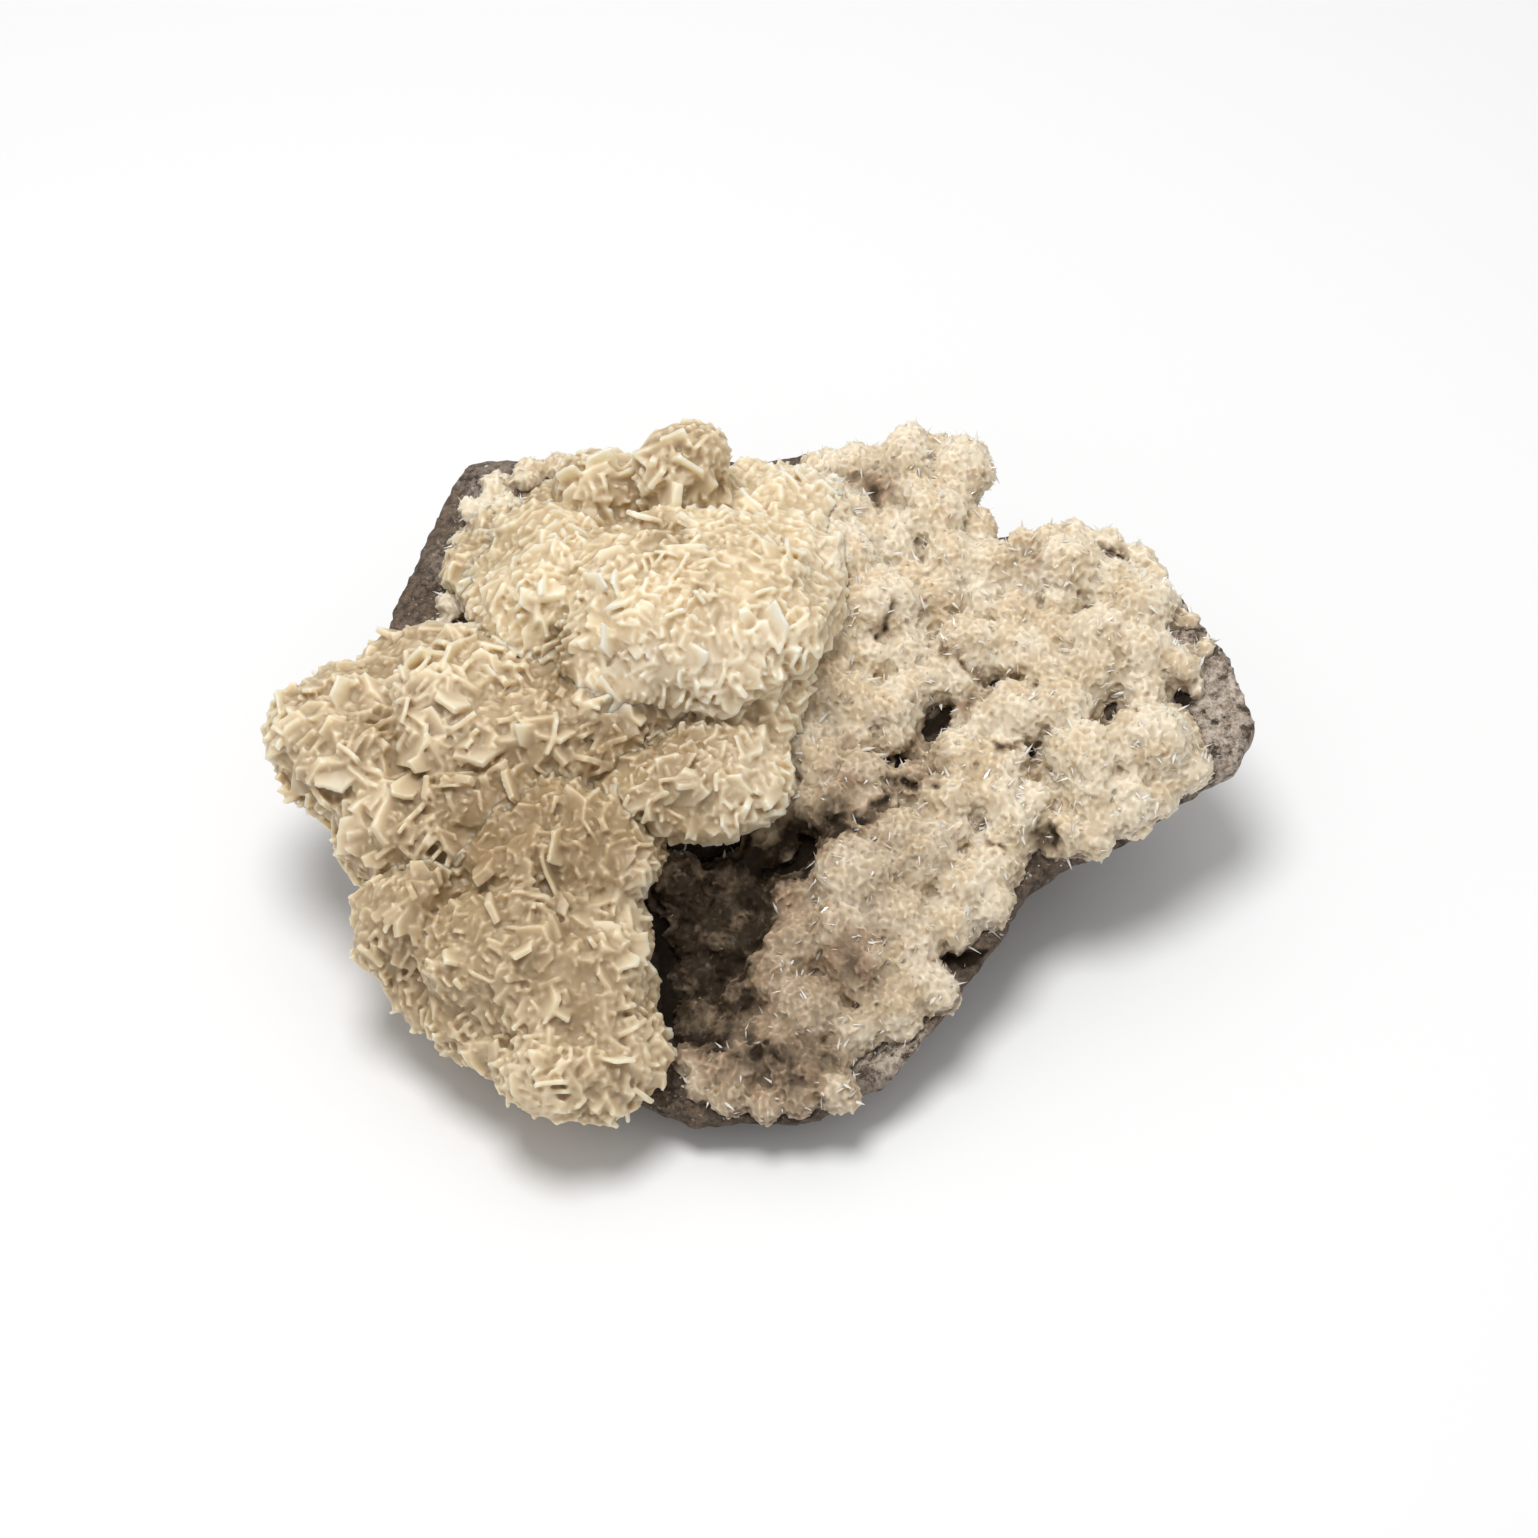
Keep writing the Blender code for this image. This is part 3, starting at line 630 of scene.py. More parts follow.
def grains_mesh(name, root, out, length, width, rng):
    """All grains as one mesh: long flattened crystals with a point at each end."""
    count = len(root)
    guide = unit(np.cross(out, unit(rng.normal(size=(count, 3)))))
    other = np.cross(out, guide) * rng.uniform(*GRAIN_FLATNESS, (count, 1))
    ring = [root + (guide * c + other * s) * width[:, None] for c, s in ((1, 0), (0, 1), (-1, 0), (0, -1))]
    skew = rng.uniform(-GRAIN_SKEW, GRAIN_SKEW, (count, 1)) * length[:, None] * out
    ring = [corner + skew for corner in ring]
    points = np.stack([root - out * length[:, None], *ring, root + out * length[:, None]], 1)
    first = np.arange(count)[:, None, None] * 6
    sides = np.array([(1, 2, 5), (2, 3, 5), (3, 4, 5), (4, 1, 5), (2, 1, 0), (3, 2, 0), (4, 3, 0), (1, 4, 0)])
    return joined_mesh(name, points.reshape(-1, 3), [(first + sides).reshape(-1, 3)])


def build_rock():
    """The slab's skin: its solid remeshed, then chipped and pitted, with the foot left flat."""
    rock = melted("slab_surface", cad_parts["matrix_rock"].data.copy(), ROCK_VOXEL, 1)
    ripple(rock, ROCK_RIPPLES, ROCK_RIPPLE_SEED, keep=lambda points: points[:, 2] < ROCK_FOOT)
    points, _ = millimetres(rock.data)
    points[:, 2] = np.where(points[:, 2] < ROCK_FOOT, 0.0, points[:, 2])
    place_points(rock.data, points)
    tree = surface_tree(rock)
    shade_points(rock, "dust", strength(points, marked(DUST, [tree])))
    # Stains, and painted shade in the crevices and cracks under the druse
    shade_points(rock, "stain_and_painted_shade", strength(points, marked(CREVICES + STAINS_AND_PAINTED_SHADE + traced(CRACKS), [tree])))
    return rock


def turned(degrees):
    """A turn about Z."""
    return Matrix.Rotation(math.radians(degrees), 3, "Z")


def blade_cores():
    """The mass under the plates, in its three parts."""
    cores = {}
    for part, styles in PARTS.items():
        balls = [
            (Vector(centre) + TABLES_ZERO, np.array(sizes) - CORE_DEPTH, turned(degrees))
            for style, centre, sizes, degrees in LOBES
            if style in styles
        ]
        cores[part] = melted("core_" + part, balls_mesh(part, balls), CORE_VOXEL, CORE_ROUNDS)
        ripple(cores[part], CORE_RIPPLES, CORE_RIPPLE_SEED)
    return cores


def pressed(cores, table):
    """Presses hollows into cores, each where a pixel of the photograph meets them."""
    trees = [surface_tree(core) for core in cores]
    marks = marked(table, trees)
    for core in cores:
        points, _ = millimetres(core.data)
        bent = warped(points)
        near = np.stack([depth * nearness(bent, spot, reach) for spot, _, reach, depth in marks], 1)
        shift = near.max(1)[:, None] * marks[0][1]
        place_points(core.data, points + shift)
    return marks


def first_met(trees, right, down):
    """Which surface a pixel of the photograph meets first, where, and the way the view looks there."""
    eye = view_axes()[3]
    found = [(k, *seen_at(tree, right, down)) for k, tree in enumerate(trees)]
    found = [hit for hit in found if hit[1] is not None]
    return min(found, key=lambda hit: (hit[1] - eye).length, default=None)


def marked(table, trees):
    """A table's rows of pixels as spot, way that the view looks there, reach and value."""
    marks = []
    for right, down, pixels, value in table:
        hit = first_met(trees, right, down)
        if hit:
            marks.append((np.array(hit[1]), np.array(hit[2]), pixels * PIXEL, value))
    return marks


def traced(cracks):
    """Rows of a table of marks along each crack."""
    rows = []
    for right, down, end_right, end_down, pixels, value in cracks:
        steps = math.ceil(math.dist((right, down), (end_right, end_down)) / pixels)
        for k in range(steps + 1):
            share = k / steps
            spot = (right + (end_right - right) * share, down + (end_down - down) * share)
            rows.append((*spot, pixels, value))
    return rows


def nearness(points, spot, reach):
    """1 at a spot and falling away with distance."""
    return np.exp(-((np.linalg.norm(points - spot, axis=1) / reach) ** 2))


def warped(points, size=WARP_SIZE, depth=WARP_DEPTH):
    """Points shifted by smooth noise, which turns a straight or round outline ragged."""
    return points + depth * np.stack([noise_at(points, size, seed) for seed in WARP_SEEDS], 1)


def strength(points, marks):
    """How strongly points are marked, 0 to 1."""
    bent = warped(points)
    return np.clip(sum(value * nearness(bent, spot, reach) for spot, _, reach, value in marks), 0, 1)


def lobe_reaches(points):
    """How far out each point lies in each lobe, 1 at the crystals' tips."""
    reaches = []
    for _, centre, sizes, degrees in LOBES:
        turn = np.array(turned(-degrees))
        local = (points - np.array(Vector(centre) + TABLES_ZERO)) @ turn.T
        reaches.append(np.linalg.norm(local / np.array(sizes), axis=1))
    return np.stack(reaches, 1)


def tones(points):
    """How tan the bladed mass is at each point, as colour and painted shade, blended between the lobes near
    it.
    """
    reaches = lobe_reaches(points)
    weight = np.exp(-TONE_SHARPNESS * (reaches - reaches.min(1, keepdims=True)))
    tone = np.array([STYLES[lobe[0]].tone for lobe in LOBES])
    return (weight * tone).sum(1) / weight.sum(1)


def leaning(normals, guides, degrees):
    """Unit vectors that lean away from the normals, toward the guides."""
    lean = np.radians(degrees)[:, None]
    side = unit(guides - normals * (guides * normals).sum(1, keepdims=True))
    return normals * np.cos(lean) + side * np.sin(lean)


def plates_at(spot, normal, style, tree, rng):
    """A plate that shows its face, or some on edge in a row, each with the normal of its broad face."""
    faced = rng.random() < style.faces
    swirl = SWIRL_TURNS * 2 * math.pi * noise.noise(Vector(spot) / SWIRL_PATCH + SWIRL_SHIFT)
    swirl += rng.normal(0, SWIRL_SPREAD) if rng.random() < SWIRL_SHARE else rng.uniform(0, 2 * math.pi)
    guide = np.array((math.cos(swirl), math.sin(swirl), rng.uniform(*SWIRL_RISE)))
    lean = rng.uniform(*(FACE_LEAN if faced else EDGE_LEAN))
    flat = leaning(normal[None], guide[None], np.array([lean]))[0]
    half = rng.uniform(*style.halves)
    cluster = CLUSTER_MIDDLE + CLUSTER_CONTRAST * noise.noise(Vector(spot) / CLUSTER_SIZE + CLUSTER_SHIFT)
    rise = rng.uniform(*style.rises) * (PROUD_RISE if rng.random() < PROUD_SHARE else 1.0)
    rise *= np.interp(cluster, (0, 1), CLUSTER_RISES)
    thick = rng.uniform(*(FACE_THICKNESS if faced else style.thicks))
    made = [(spot, normal, flat, half, rise, thick)]
    for k in range(1, rng.integers(*ROW_ENDS) if not faced and rng.random() < ROW_SHARE else 1):
        page = unit(flat + rng.normal(0, ROW_FAN, 3))
        beside = spot + flat * k * thick * rng.uniform(*ROW_GAP)
        place, out = (np.array(v) for v in tree.find_nearest(beside)[:2])
        half_here = half * rng.uniform(*ROW_HALVES)
        made.append((place, out, page, half_here, rise * rng.uniform(*ROW_RISES), thick))
    return made


def free_spots(core, others, rng, **how):
    """Spots on a core, with their normals, that lie no deeper in each other surface than it allows."""
    spots, normals = scattered(core, rng=rng, **how)
    free = [i for i, spot in enumerate(spots) if all(depth_under(tree, spot) < most for tree, most in others)]
    return spots[free], normals[free]


def big_plates(trees):
    """The large plates of the table, by the part that carries each."""
    made = {part: [] for part in trees}
    right_way, up_way, _, _ = view_axes()
    for right, down, half, thick, lean, points_to, rise in BIG_PLATES:
        index, spot, _ = first_met(trees.values(), right, down)
        part = list(trees)[index]
        normal = np.array([trees[part].find_nearest(spot)[1]])
        turn = math.radians(points_to)
        free = np.array([right_way * math.cos(turn) + up_way * math.sin(turn)])
        flat = leaning(normal, -free, np.array([lean]))[0]
        made[part].append((np.array(spot), normal[0], flat, half, rise, thick))
    return made


def build_blades(cores, rock_tree, crust_tree):
    """The bladed mass in three skins: plates over its cores, melted into them."""
    rng = np.random.default_rng(PLATE_SEED)
    marks = pressed(cores.values(), HOLLOWS)
    trees = {part: surface_tree(core) for part, core in cores.items()}
    painted_shade_marks = marked(PAINTED_SHADE_MARKS, trees.values())
    painted_light_marks = marked(PAINTED_LIGHT_MARKS, trees.values())
    large = big_plates(trees)
    made = []
    for part, core in cores.items():
        tree = trees[part]
        others = [(trees[name], DEPTH_IN_PART) for name in trees if name != part]
        others += [(rock_tree, DEPTH_IN_ROCK), (crust_tree, DEPTH_IN_CRUST)]
        spots, normals = free_spots(core, others, rng, count=PLATE_TRIES)
        plates = large[part]
        for styles in ([STYLES[LOBES[k][0]] for k in lobe_reaches(spots).argmin(1)], [FILL] * len(spots)):
            for i in thinned(spots, [style.spacing for style in styles]):
                if spots[i][2] > PLATE_FLOOR:
                    plates += plates_at(spots[i], normals[i], styles[i], tree, rng)
        crystals = plates_mesh(part, plates, rng)
        rounds = BLADE_ROUNDS[part]
        skin = crystal_skin("blades_" + part, core, crystals, BLADE_VOXEL, BLADE_TRIANGLES, rounds)
        points, _ = millimetres(skin.data)
        points = warped(points, BEND_SIZE, BEND_DEPTH)
        place_points(skin.data, points)
        skin.data.set_sharp_from_angle(angle=math.radians(SHARP))
        # Painted light: pale patches, which also lessen the tone and the painted shade
        pale = strength(points, painted_light_marks)
        shade_points(skin, "pale", pale)
        # Tone: tan colour and painted shade, taken off where light is painted
        shade_points(skin, "tone", tones(points) * (1 - pale))
        # Painted shade in the pressed hollows and in the marked shaded zones
        shade_points(skin, "hollow", np.maximum(strength(points, marks), strength(points, painted_shade_marks)))
        # Rise over the core, for painted shade that darkens the plates toward their roots
        shade_points(skin, "tip", distances(tree, points) / TIP_HEIGHT)
        shade_relief(skin, core, tree)
        made.append(skin)
    return made


def view_axes():
    """Right, up and back of the photograph's view, and where its camera stands."""
    lean = math.radians(VIEW_ELEVATION)
    right = Vector((1.0, 0.0, 0.0))
    up = Vector((0.0, math.sin(lean), math.cos(lean)))
    back = Vector((0.0, -math.cos(lean), math.sin(lean)))
    middle = PHOTO_SIDE / 2
    aim = right * (middle - ORIGIN_PIXEL[0]) * PIXEL + up * (ORIGIN_PIXEL[1] - middle) * PIXEL
    return right, up, back, aim + back * (PHOTO_SIDE * PIXEL / SENSOR * LENS)


def seen_at(tree, pixel_right, pixel_down):
    """Where a pixel of the photograph meets a surface, and the way that the view looks there."""
    right, up, back, eye = view_axes()
    middle = PHOTO_SIDE / 2
    way = right * (pixel_right - middle) + up * (middle - pixel_down) - back * (PHOTO_SIDE / SENSOR * LENS)
    way.normalize()
    return tree.ray_cast(eye, way)[0], way


def druse_core(rock_tree, crust_tree):
    """The lumps of the druse on their feet, each rough with tufts."""
    rng = random.Random(LUMP_SEED)
    balls = []
    for right, down, pixels in DRUSE_LUMPS:
        radius = pixels * PIXEL
        spot, way = seen_at(crust_tree, right, down)
        if spot is None:
            spot, way = seen_at(rock_tree, right, down)
        if spot is None:
            continue
        ground, normal, _, _ = rock_tree.find_nearest(spot + way * radius * LUMP_SINK)
        centre = ground + normal * rng.uniform(*LUMP_LIFT) * radius
        stretch = 1.0 + rng.uniform(0.0, LUMP_STRETCH)
        turn = normal.to_track_quat("Z", "Y").to_matrix() @ Matrix.Rotation(rng.uniform(0.0, math.pi), 3, "Z")
        for place, (wide, tall) in ((centre, LUMP_SHARES), (ground, FOOT_SHARES)):
            balls.append((place, np.array((wide * stretch, wide / stretch, tall)) * radius, turn))
        for _ in range(TUFTS):
            way = Vector((rng.gauss(0, 1), rng.gauss(0, 1), rng.gauss(0, 1))).normalized()
            if way.dot(normal) > TUFT_TILT:
                size = rng.uniform(*TUFT_SHARE) * radius
                out = TUFT_PLACE[0] * radius - TUFT_PLACE[1] * size
                balls.append((centre + way * out, np.full(3, size), turn))
    core = melted("core_druse", balls_mesh("core_druse", balls), DRUSE_VOXEL, DRUSE_ROUNDS)
    ripple(core, DRUSE_RIPPLES, DRUSE_RIPPLE_SEED)
    return core


def sprouted(core, others, rng, how):
    """Crystals that grow from a core's free surface: root, way, half length and half width of each."""
    spots, normals = free_spots(core, others, rng, count=0, density=how.density)
    lean = rng.uniform(*how.leans, len(spots))
    out = leaning(normals, rng.normal(size=normals.shape), lean)
    length = rng.uniform(*how.lengths, len(spots))
    width = rng.uniform(*how.widths, len(spots))
    lift = length * np.cos(np.radians(lean)) * rng.uniform(*GRAIN_LIFT, len(spots)) + how.least_lift
    return spots + normals * lift[:, None], out, length, width


def build_druse(core, rock_tree, blade_trees):
    """The druse: fine crystals over its lumps, melted into them, and the clear ones by themselves."""
    rng = np.random.default_rng(GRAIN_SEED)
    pressed([core], CREVICES)
    cracks = pressed([core], traced(CRACKS))
    tree = surface_tree(core)
    # Stains, and painted shade in the cavity and the cracks
    stains_and_shade = marked(STAINS_AND_PAINTED_SHADE, [tree, rock_tree]) + [(*mark[:3], CRACK_STAIN_AND_SHADE) for mark in cracks]
    others = [(rock_tree, -GAP_TO_ROCK), *((blades, DEPTH_IN_BLADES) for blades in blade_trees)]
    fine = grains_mesh("druse", *sprouted(core, others, rng, FINE), rng)
    skin = crystal_skin("druse_crystals", core, fine, GRAIN_VOXEL, GRAIN_TRIANGLES, 0)
    large = sprouted(core, others, rng, CLEAR)
    bright = strength(large[0], stains_and_shade) < rng.random(len(large[0]))
    large = (values[bright] for values in large)
    clear = placed("clear_grains", grains_mesh("clear_grains", *large, rng))
    points, _ = millimetres(skin.data)
    # Stains and painted shade, which the material lays on as brown
    shade_points(skin, "tone", strength(points, stains_and_shade))
    # Height over the rock, for painted shade at the druse's foot
    shade_points(skin, "height", distances(rock_tree, points) / SHADED_HEIGHT)
    shade_relief(skin, core, tree)
    return skin, clear


def build_fringe(rock, crusts):
    """Small crystals on the rock, fewer the further they are from a crust."""
    rng = np.random.default_rng(FRINGE_SEED)
    spots, normals = scattered(rock, FRINGE_TRIES, rng)
    stained = strength(spots, marked(STAINS_AND_PAINTED_SHADE + CREVICES, [surface_tree(rock)]))
    kept = []
    for i, spot in enumerate(spots):
        if normals[i][2] < FRINGE_FACING or stained[i] > FRINGE_STAIN:
            continue
        gap = min(-depth_under(tree, spot) for tree in crusts)
        if 0 < gap < FRINGE_REACH * rng.random() ** 2:
            kept.append(i)
    out = leaning(normals[kept], rng.normal(size=(len(kept), 3)), rng.uniform(*FRINGE_LEAN, len(kept)))
    length = rng.uniform(*FRINGE_LENGTH, len(kept))
    width = rng.uniform(*FRINGE_WIDTH, len(kept))
    made = placed("fringe_crystals", grains_mesh("fringe_crystals", spots[kept], out, length, width, rng))
    shade_points(made, "tone", np.full(len(made.data.vertices), FRINGE_TONE))
    shade_points(made, "height", np.ones(len(made.data.vertices)))
    return made


class Shader:
    """Makes a material's nodes, one line each."""

    def __init__(self, name):
        self.material = bpy.data.materials.new(name)
        self.material.use_nodes = True
        self.tree = self.material.node_tree
        self.body = self.tree.nodes["Principled BSDF"]
        self.place = self.add("ShaderNodeTexCoord", {}).outputs["Object"]

    def feed(self, node, sockets):
        """Links a node's sockets, or sets them, each by its name or number."""
        for key, value in sockets.items():
            if isinstance(value, bpy.types.NodeSocket):
                self.tree.links.new(value, node.inputs[key])
            else:
                node.inputs[key].default_value = value

    def add(self, kind, sockets, **settings):
        """A new node with its settings made and its sockets fed."""
        node = self.tree.nodes.new(kind)
        for key, value in settings.items():
            setattr(node, key, value)
        self.feed(node, sockets)
        return node

    def set(self, **sockets):
        """Feeds the surface shader, whose sockets are named with _ for each space."""
        self.feed(self.body, {key.replace("_", " "): value for key, value in sockets.items()})

    def shade(self, name):
        """A value that the mesh gives each point."""
        return self.add("ShaderNodeAttribute", {}, attribute_name=name).outputs["Fac"]

    def cloud(self, size, detail=3.0, roughness=0.55):
        """Fractal noise with bumps of about size millimetres."""
        scale = 1.0 / (size * MM)
        sockets = {"Vector": self.place, "Scale": scale, "Detail": detail, "Roughness": roughness}
        return self.add("ShaderNodeTexNoise", sockets).outputs["Fac"]

    def cells(self, size):
        """Distance to the nearest of points about size millimetres apart, in sizes."""
        sockets = {"Vector": self.place, "Scale": 1.0 / (size * MM)}
        return self.add("ShaderNodeTexVoronoi", sockets).outputs["Distance"]

    def ramp(self, value, low, high, to_low=0.0, to_high=1.0):
        """Maps low to high onto another range, held at its ends."""
        sockets = {"Value": value, "From Min": low, "From Max": high, "To Min": to_low, "To Max": to_high}
        return self.add("ShaderNodeMapRange", sockets).outputs["Result"]

    def maths(self, operation, a, b):
        """One sum of two values, each a socket or a number."""
        return self.add("ShaderNodeMath", {0: a, 1: b}, operation=operation).outputs["Value"]

    def blend(self, share, a, b):
        """A colour between two, each a socket or a colour."""
        a, b = ((*colour, 1.0) if isinstance(colour, tuple) else colour for colour in (a, b))
        return self.add("ShaderNodeMix", {0: share, 6: a, 7: b}, data_type="RGBA").outputs[2]

    def bump(self, height, depth):
        """Relief from a value, depth millimetres high."""
        sockets = {"Height": height, "Strength": 1.0, "Distance": depth * MM}
        self.set(Normal=self.add("ShaderNodeBump", sockets).outputs["Normal"])

    def toward(self, colour, other, shade, most, start=0.0):
        """A colour that turns into another by up to a share, where the mesh's shade is high."""
        return self.blend(self.ramp(self.shade(shade), start, 1.0, 0.0, most), colour, other)


def rock_material():
    """Grey-brown rock: fine grain, darker patches, pale specks that are thicker where it is dusty, near black
    where stained, and painted shade in the crevices and cracks.
    """
    s = Shader("rock")
    patches = s.ramp(s.cloud(5.0, 5.0), 0.35, 0.65)
    base = s.blend(patches, (0.035, 0.025, 0.017), (0.11, 0.077, 0.052))
    pores = s.ramp(s.cloud(0.9, 5.0, 0.7), 0.42, 0.64)
    base = s.blend(s.maths("MULTIPLY", pores, 0.75), base, (0.27, 0.19, 0.132))
    dusty = s.ramp(s.cloud(1.8, 5.0, 0.75), 0.4, 0.54)
    dust = s.blend(s.ramp(s.cloud(0.8, 4.0, 0.7), 0.35, 0.6), (0.28, 0.2, 0.14), (0.7, 0.6, 0.5))
    base = s.blend(s.maths("MULTIPLY", s.shade("dust"), dusty), base, dust)
    specks = s.ramp(s.cloud(0.5, 2.0), 0.66, 0.72)
    base = s.blend(s.maths("MULTIPLY", specks, 0.6), base, (0.55, 0.47, 0.38))
    # Near black and less shiny where stained and in the crevices and cracks, which is painted shade
    stain_and_painted_shade = s.shade("stain_and_painted_shade")
    s.set(Base_Color=s.blend(s.ramp(stain_and_painted_shade, 0.0, 0.7, 0.0, 0.95), base, (0.016, 0.011, 0.007)))
    s.set(Specular_IOR_Level=s.ramp(stain_and_painted_shade, 0.0, 0.7, 0.5, 0.05))
    grain = s.ramp(s.cloud(0.7, 4.0, 0.7), 0.3, 0.7)
    s.set(Roughness=s.ramp(grain, 0.0, 1.0, 0.75, 0.95))
    s.bump(s.maths("ADD", s.cloud(0.9, 5.0, 0.7), s.maths("MULTIPLY", s.cells(1.3), 0.4)), 0.8)
    return s.material


def blade_material():
    """Waxy cream crystal: painted ivory highlights on the plates' edges and painted light in pale patches,
    painted tan shade toward the roots and in the recesses, and tan where the tone says.
    """
    s = Shader("blades")
    drift = s.ramp(s.cloud(9.0, 3.0), 0.3, 0.7, -0.25, 0.25)
    # Tan colour and painted shade by lobe, with a random drift
    tone = s.ramp(s.maths("ADD", s.shade("tone"), drift), 0.0, 1.0)
    body = s.blend(tone, (0.85, 0.75, 0.56), (0.68, 0.545, 0.36))
    # Painted shade toward the plates' roots, in tan
    root = s.blend(tone, (0.66, 0.52, 0.32), (0.38, 0.27, 0.15))
    # Painted shade in the creases, and painted highlights, ivory, on the crests
    crease = s.blend(tone, (0.58, 0.44, 0.25), (0.27, 0.175, 0.08))
    crest = s.blend(tone, (0.92, 0.86, 0.71), (0.9, 0.82, 0.66))
    colour = s.blend(s.ramp(s.shade("tip"), 0.0, 0.9), root, body)
    # Painted shade, tan, in the hollows, the shaded zones and the core's valleys, less where light is painted
    deep = s.maths("MAXIMUM", s.shade("hollow"), s.shade("valley"))
    deep = s.maths("MULTIPLY", deep, s.ramp(s.shade("pale"), 0.0, 1.0, 1.0, 0.3))
    colour = s.blend(s.ramp(deep, 0.0, 1.0, 0.0, 0.8), colour, (0.3, 0.195, 0.085))
    # Painted light: pale patches
    colour = s.toward(colour, (0.88, 0.8, 0.68), "pale", 0.5)
    # Painted shade in the creases and painted highlights on the crests
    colour = s.toward(colour, crease, "crease", 0.5)
    s.set(Base_Color=s.toward(colour, crest, "crest", 0.5, start=0.1))
    s.set(Roughness=s.ramp(s.cloud(1.2), 0.3, 0.7, 0.35, 0.6))
    s.bump(s.cloud(0.5, 3.0), 0.04)
    s.set(IOR=1.5, Subsurface_Weight=1.0, Subsurface_Radius=(1.0, 0.88, 0.7), Subsurface_Scale=0.0028)
    return s.material


def druse_material():
    """The druse: soft white-cream, with painted tan shade in its valleys and creases and darker at its foot,
    painted highlights on its crests, and brown where stained, which is also painted shade in the cavity and
    cracks.
    """
    s = Shader("druse")
    patch = s.ramp(s.cloud(3.0, 4.0), 0.3, 0.65, 0.7, 1.25)
    # Stains and painted shade: brown, near black in the cavity and cracks
    brown = s.ramp(s.maths("MULTIPLY", s.shade("tone"), patch), 0.0, 1.0)
    # Painted shade, tan, in the valleys between the lumps
    valley = s.ramp(s.maths("MULTIPLY", s.shade("valley"), patch), 0.05, 1.0)
    # Painted shade at the foot, by the rock
    foot = s.blend(brown, (0.27, 0.19, 0.12), (0.015, 0.01, 0.006))
    tinge = s.blend(brown, (0.6, 0.47, 0.3), (0.04, 0.027, 0.016))
    hollow = s.blend(brown, (0.24, 0.155, 0.085), (0.015, 0.01, 0.006))
    # Painted shade in the creases and painted highlights on the crests
    crease = s.blend(brown, (0.42, 0.3, 0.18), (0.02, 0.014, 0.008))
    crest = s.blend(brown, (0.88, 0.82, 0.71), (0.1, 0.07, 0.045))
    top = s.blend(s.ramp(brown, 0.0, 0.5), (0.75, 0.66, 0.51), (0.38, 0.27, 0.175))
    top = s.blend(s.ramp(brown, 0.5, 1.0), top, (0.04, 0.027, 0.016))
    top = s.blend(s.ramp(s.cloud(4.5, 3.0), 0.42, 0.62, 0.0, 0.8), top, tinge)
    top = s.blend(valley, top, hollow)
    colour = s.blend(s.ramp(s.shade("height"), 0.05, 0.4), foot, top)
    colour = s.toward(colour, crease, "crease", 0.3, start=0.1)
    colour = s.toward(colour, crest, "crest", 0.4, start=0.15)
    specks = s.ramp(s.cloud(0.9, 2.0), 0.69, 0.73)
    s.set(Base_Color=s.blend(s.maths("MULTIPLY", specks, 0.5), colour, (0.2, 0.13, 0.08)))
    s.set(Roughness=s.ramp(s.cloud(1.0), 0.3, 0.7, 0.45, 0.7))
    # Less shine where stained and painted in shade
    s.set(Specular_IOR_Level=s.ramp(brown, 0.0, 1.0, 0.5, 0.1))
    s.set(IOR=1.45, Subsurface_Weight=1.0, Subsurface_Radius=(1.0, 0.8, 0.6), Subsurface_Scale=0.0014)
    return s.material


def clear_material():
    """The clearer crystals, which let some light through and glint, painted near white as a highlight."""
    s = Shader("druse_clear")
    # Near white, a painted highlight, so that the grains show as white glints at any angle
    s.set(Base_Color=(0.96, 0.93, 0.87, 1.0), Transmission_Weight=0.2, Roughness=0.1, IOR=2.07)
    return s.material


def add_piece(piece, material, slot, *nodes):
    """Finishes a piece: its material, its body and the solids that it stands for, which it hides. The slot is
    not used.
    """
    piece.data.materials.clear()
    piece.data.materials.append(material)
    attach(piece, BODY)
    if nodes:
        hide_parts(*nodes)


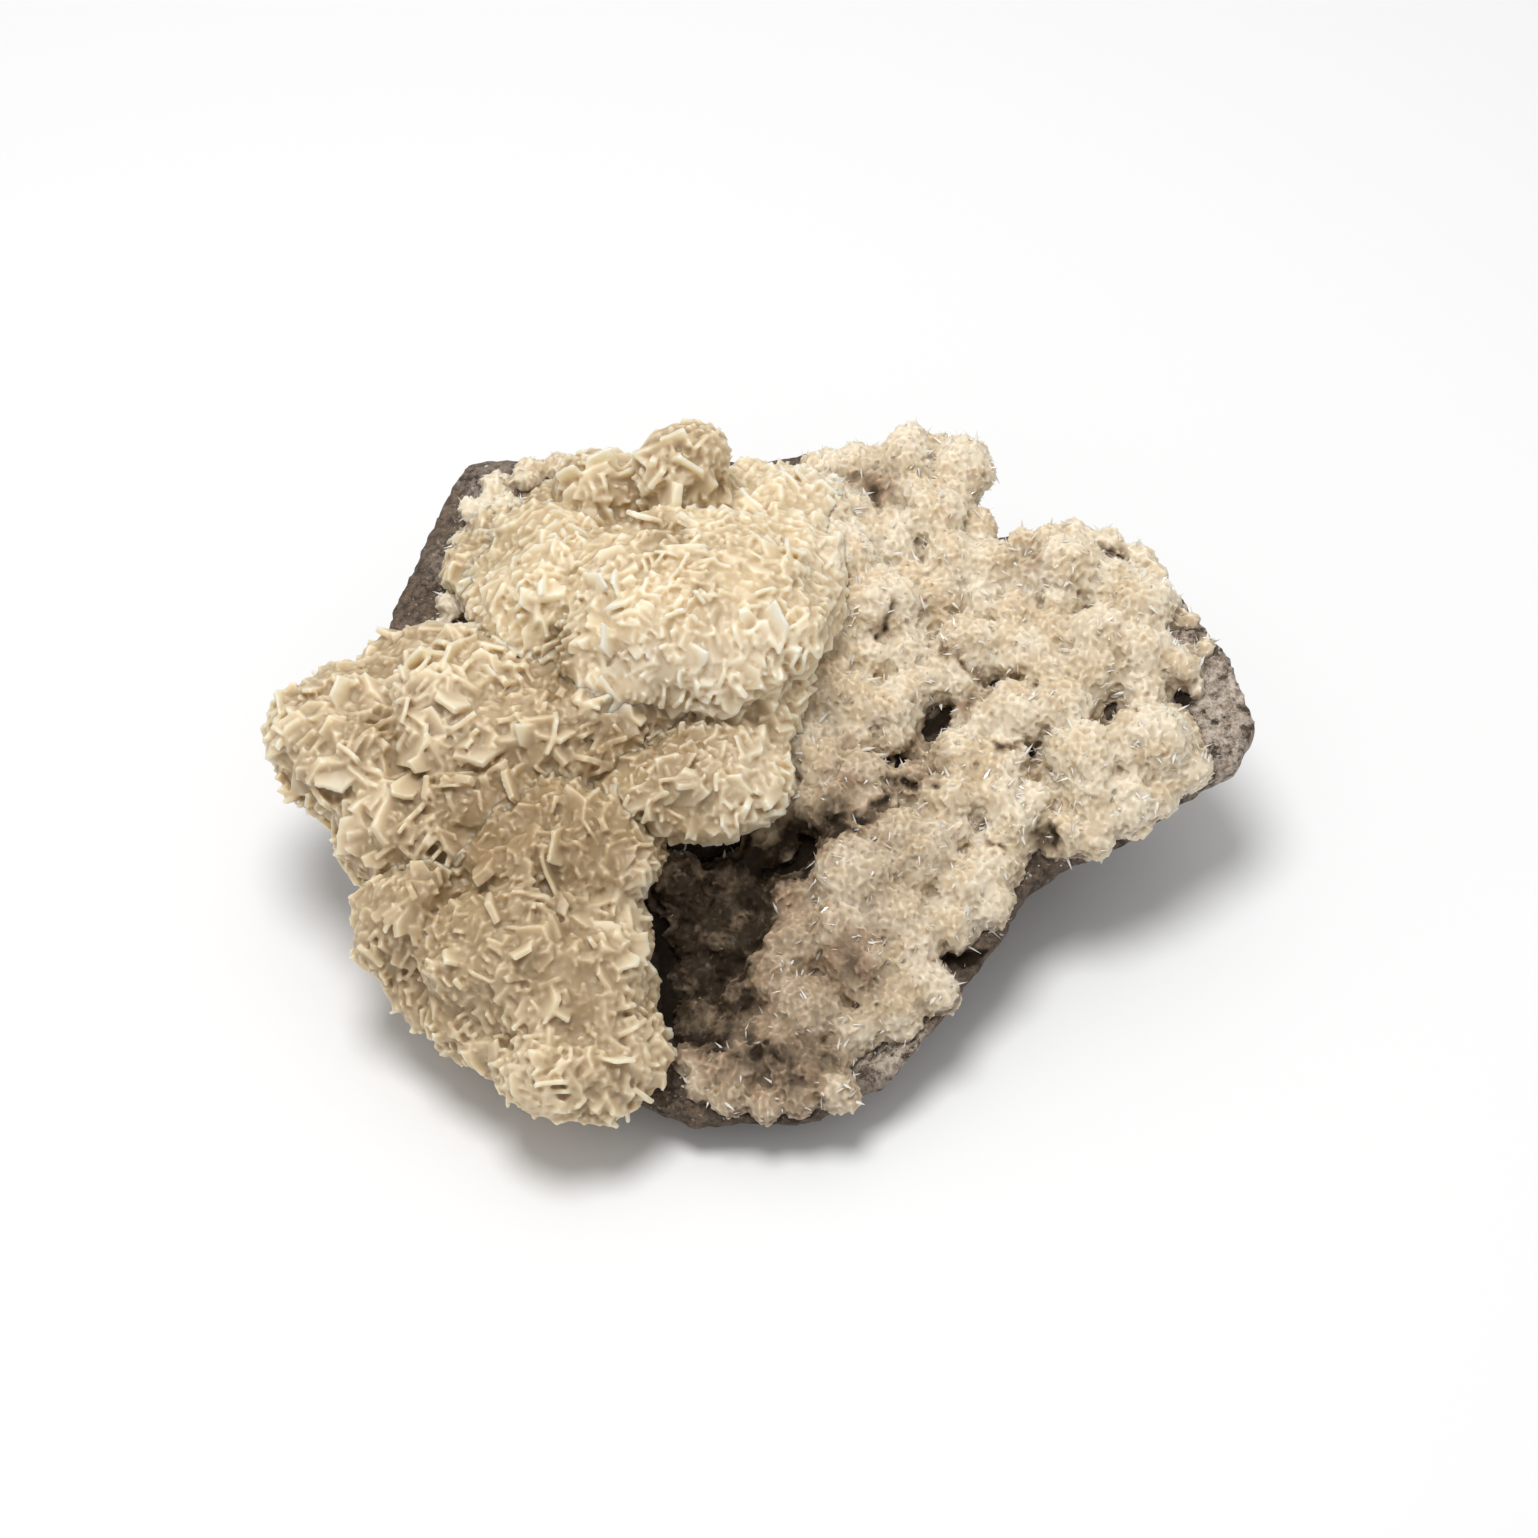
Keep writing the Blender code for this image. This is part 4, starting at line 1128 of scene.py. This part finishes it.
def build_stage():
    """The pale floor, the soft light overhead and the white surround."""
    floor_mesh = bpy.data.meshes.new("floor")
    corners = [(FLOOR_HALF * x, FLOOR_HALF * y, 0) for x, y in ((-1, -1), (1, -1), (1, 1), (-1, 1))]
    floor_mesh.from_pydata(corners, [], [(0, 1, 2, 3)])
    floor = placed("floor", floor_mesh)
    s = Shader("floor")
    s.set(Base_Color=(*(FLOOR_WHITE,) * 3, 1.0), Roughness=1.0, Specular_IOR_Level=0.0)
    floor_mesh.materials.append(s.material)
    world = bpy.data.worlds.new("surround")
    world.use_nodes = True
    world.node_tree.nodes["Background"].inputs["Color"].default_value = (1.0, 1.0, 1.0, 1.0)
    world.node_tree.nodes["Background"].inputs["Strength"].default_value = SURROUND
    bpy.context.scene.world = world
    for name, spot, size, power in LIGHTS:
        light = bpy.data.lights.new(name, "AREA")
        light.shape = "DISK"
        light.energy = power
        light.size = size
        lamp = placed(name, light)
        lamp.location = spot
        lamp.rotation_euler = (LIGHTS_AIM - lamp.location).to_track_quat("-Z", "Y").to_euler()


def build_camera():
    """The photograph's view, which looks down on the specimen from the front."""
    _, _, back, eye = view_axes()
    camera = bpy.data.cameras.new("camera")
    camera.lens = LENS
    camera.sensor_width = SENSOR
    camera.clip_start = 0.01
    made = placed("camera", camera)
    made.location = eye * MM
    made.rotation_euler = (-back).to_track_quat("-Z", "Y").to_euler()
    bpy.context.scene.camera = made
    bpy.context.scene.view_settings.view_transform = "Standard"


def main():
    """Builds every piece and the stage round them."""
    rock_tree = surface_tree(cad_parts["matrix_rock"])
    crust_tree = surface_tree(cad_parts["druse_crust"])

    rock = build_rock()
    add_piece(rock, rock_material(), "rock", "matrix_rock")

    cores = blade_cores()
    blades = blade_material()
    for piece in build_blades(cores, rock_tree, crust_tree):
        add_piece(piece, blades, "blades", "bladed_crystals")
    blade_trees = [surface_tree(core) for core in cores.values()]

    lumps = druse_core(rock_tree, crust_tree)
    frosted = druse_material()
    skin, grains = build_druse(lumps, rock_tree, blade_trees)
    add_piece(skin, frosted, "druse", "druse_crust")
    add_piece(grains, clear_material(), "druse", "druse_crust")
    fringe = build_fringe(rock, [*blade_trees, surface_tree(lumps)])
    add_piece(fringe, frosted, "druse")
    for core in (*cores.values(), lumps):
        bpy.data.objects.remove(core)

    build_stage()
    build_camera()


main()
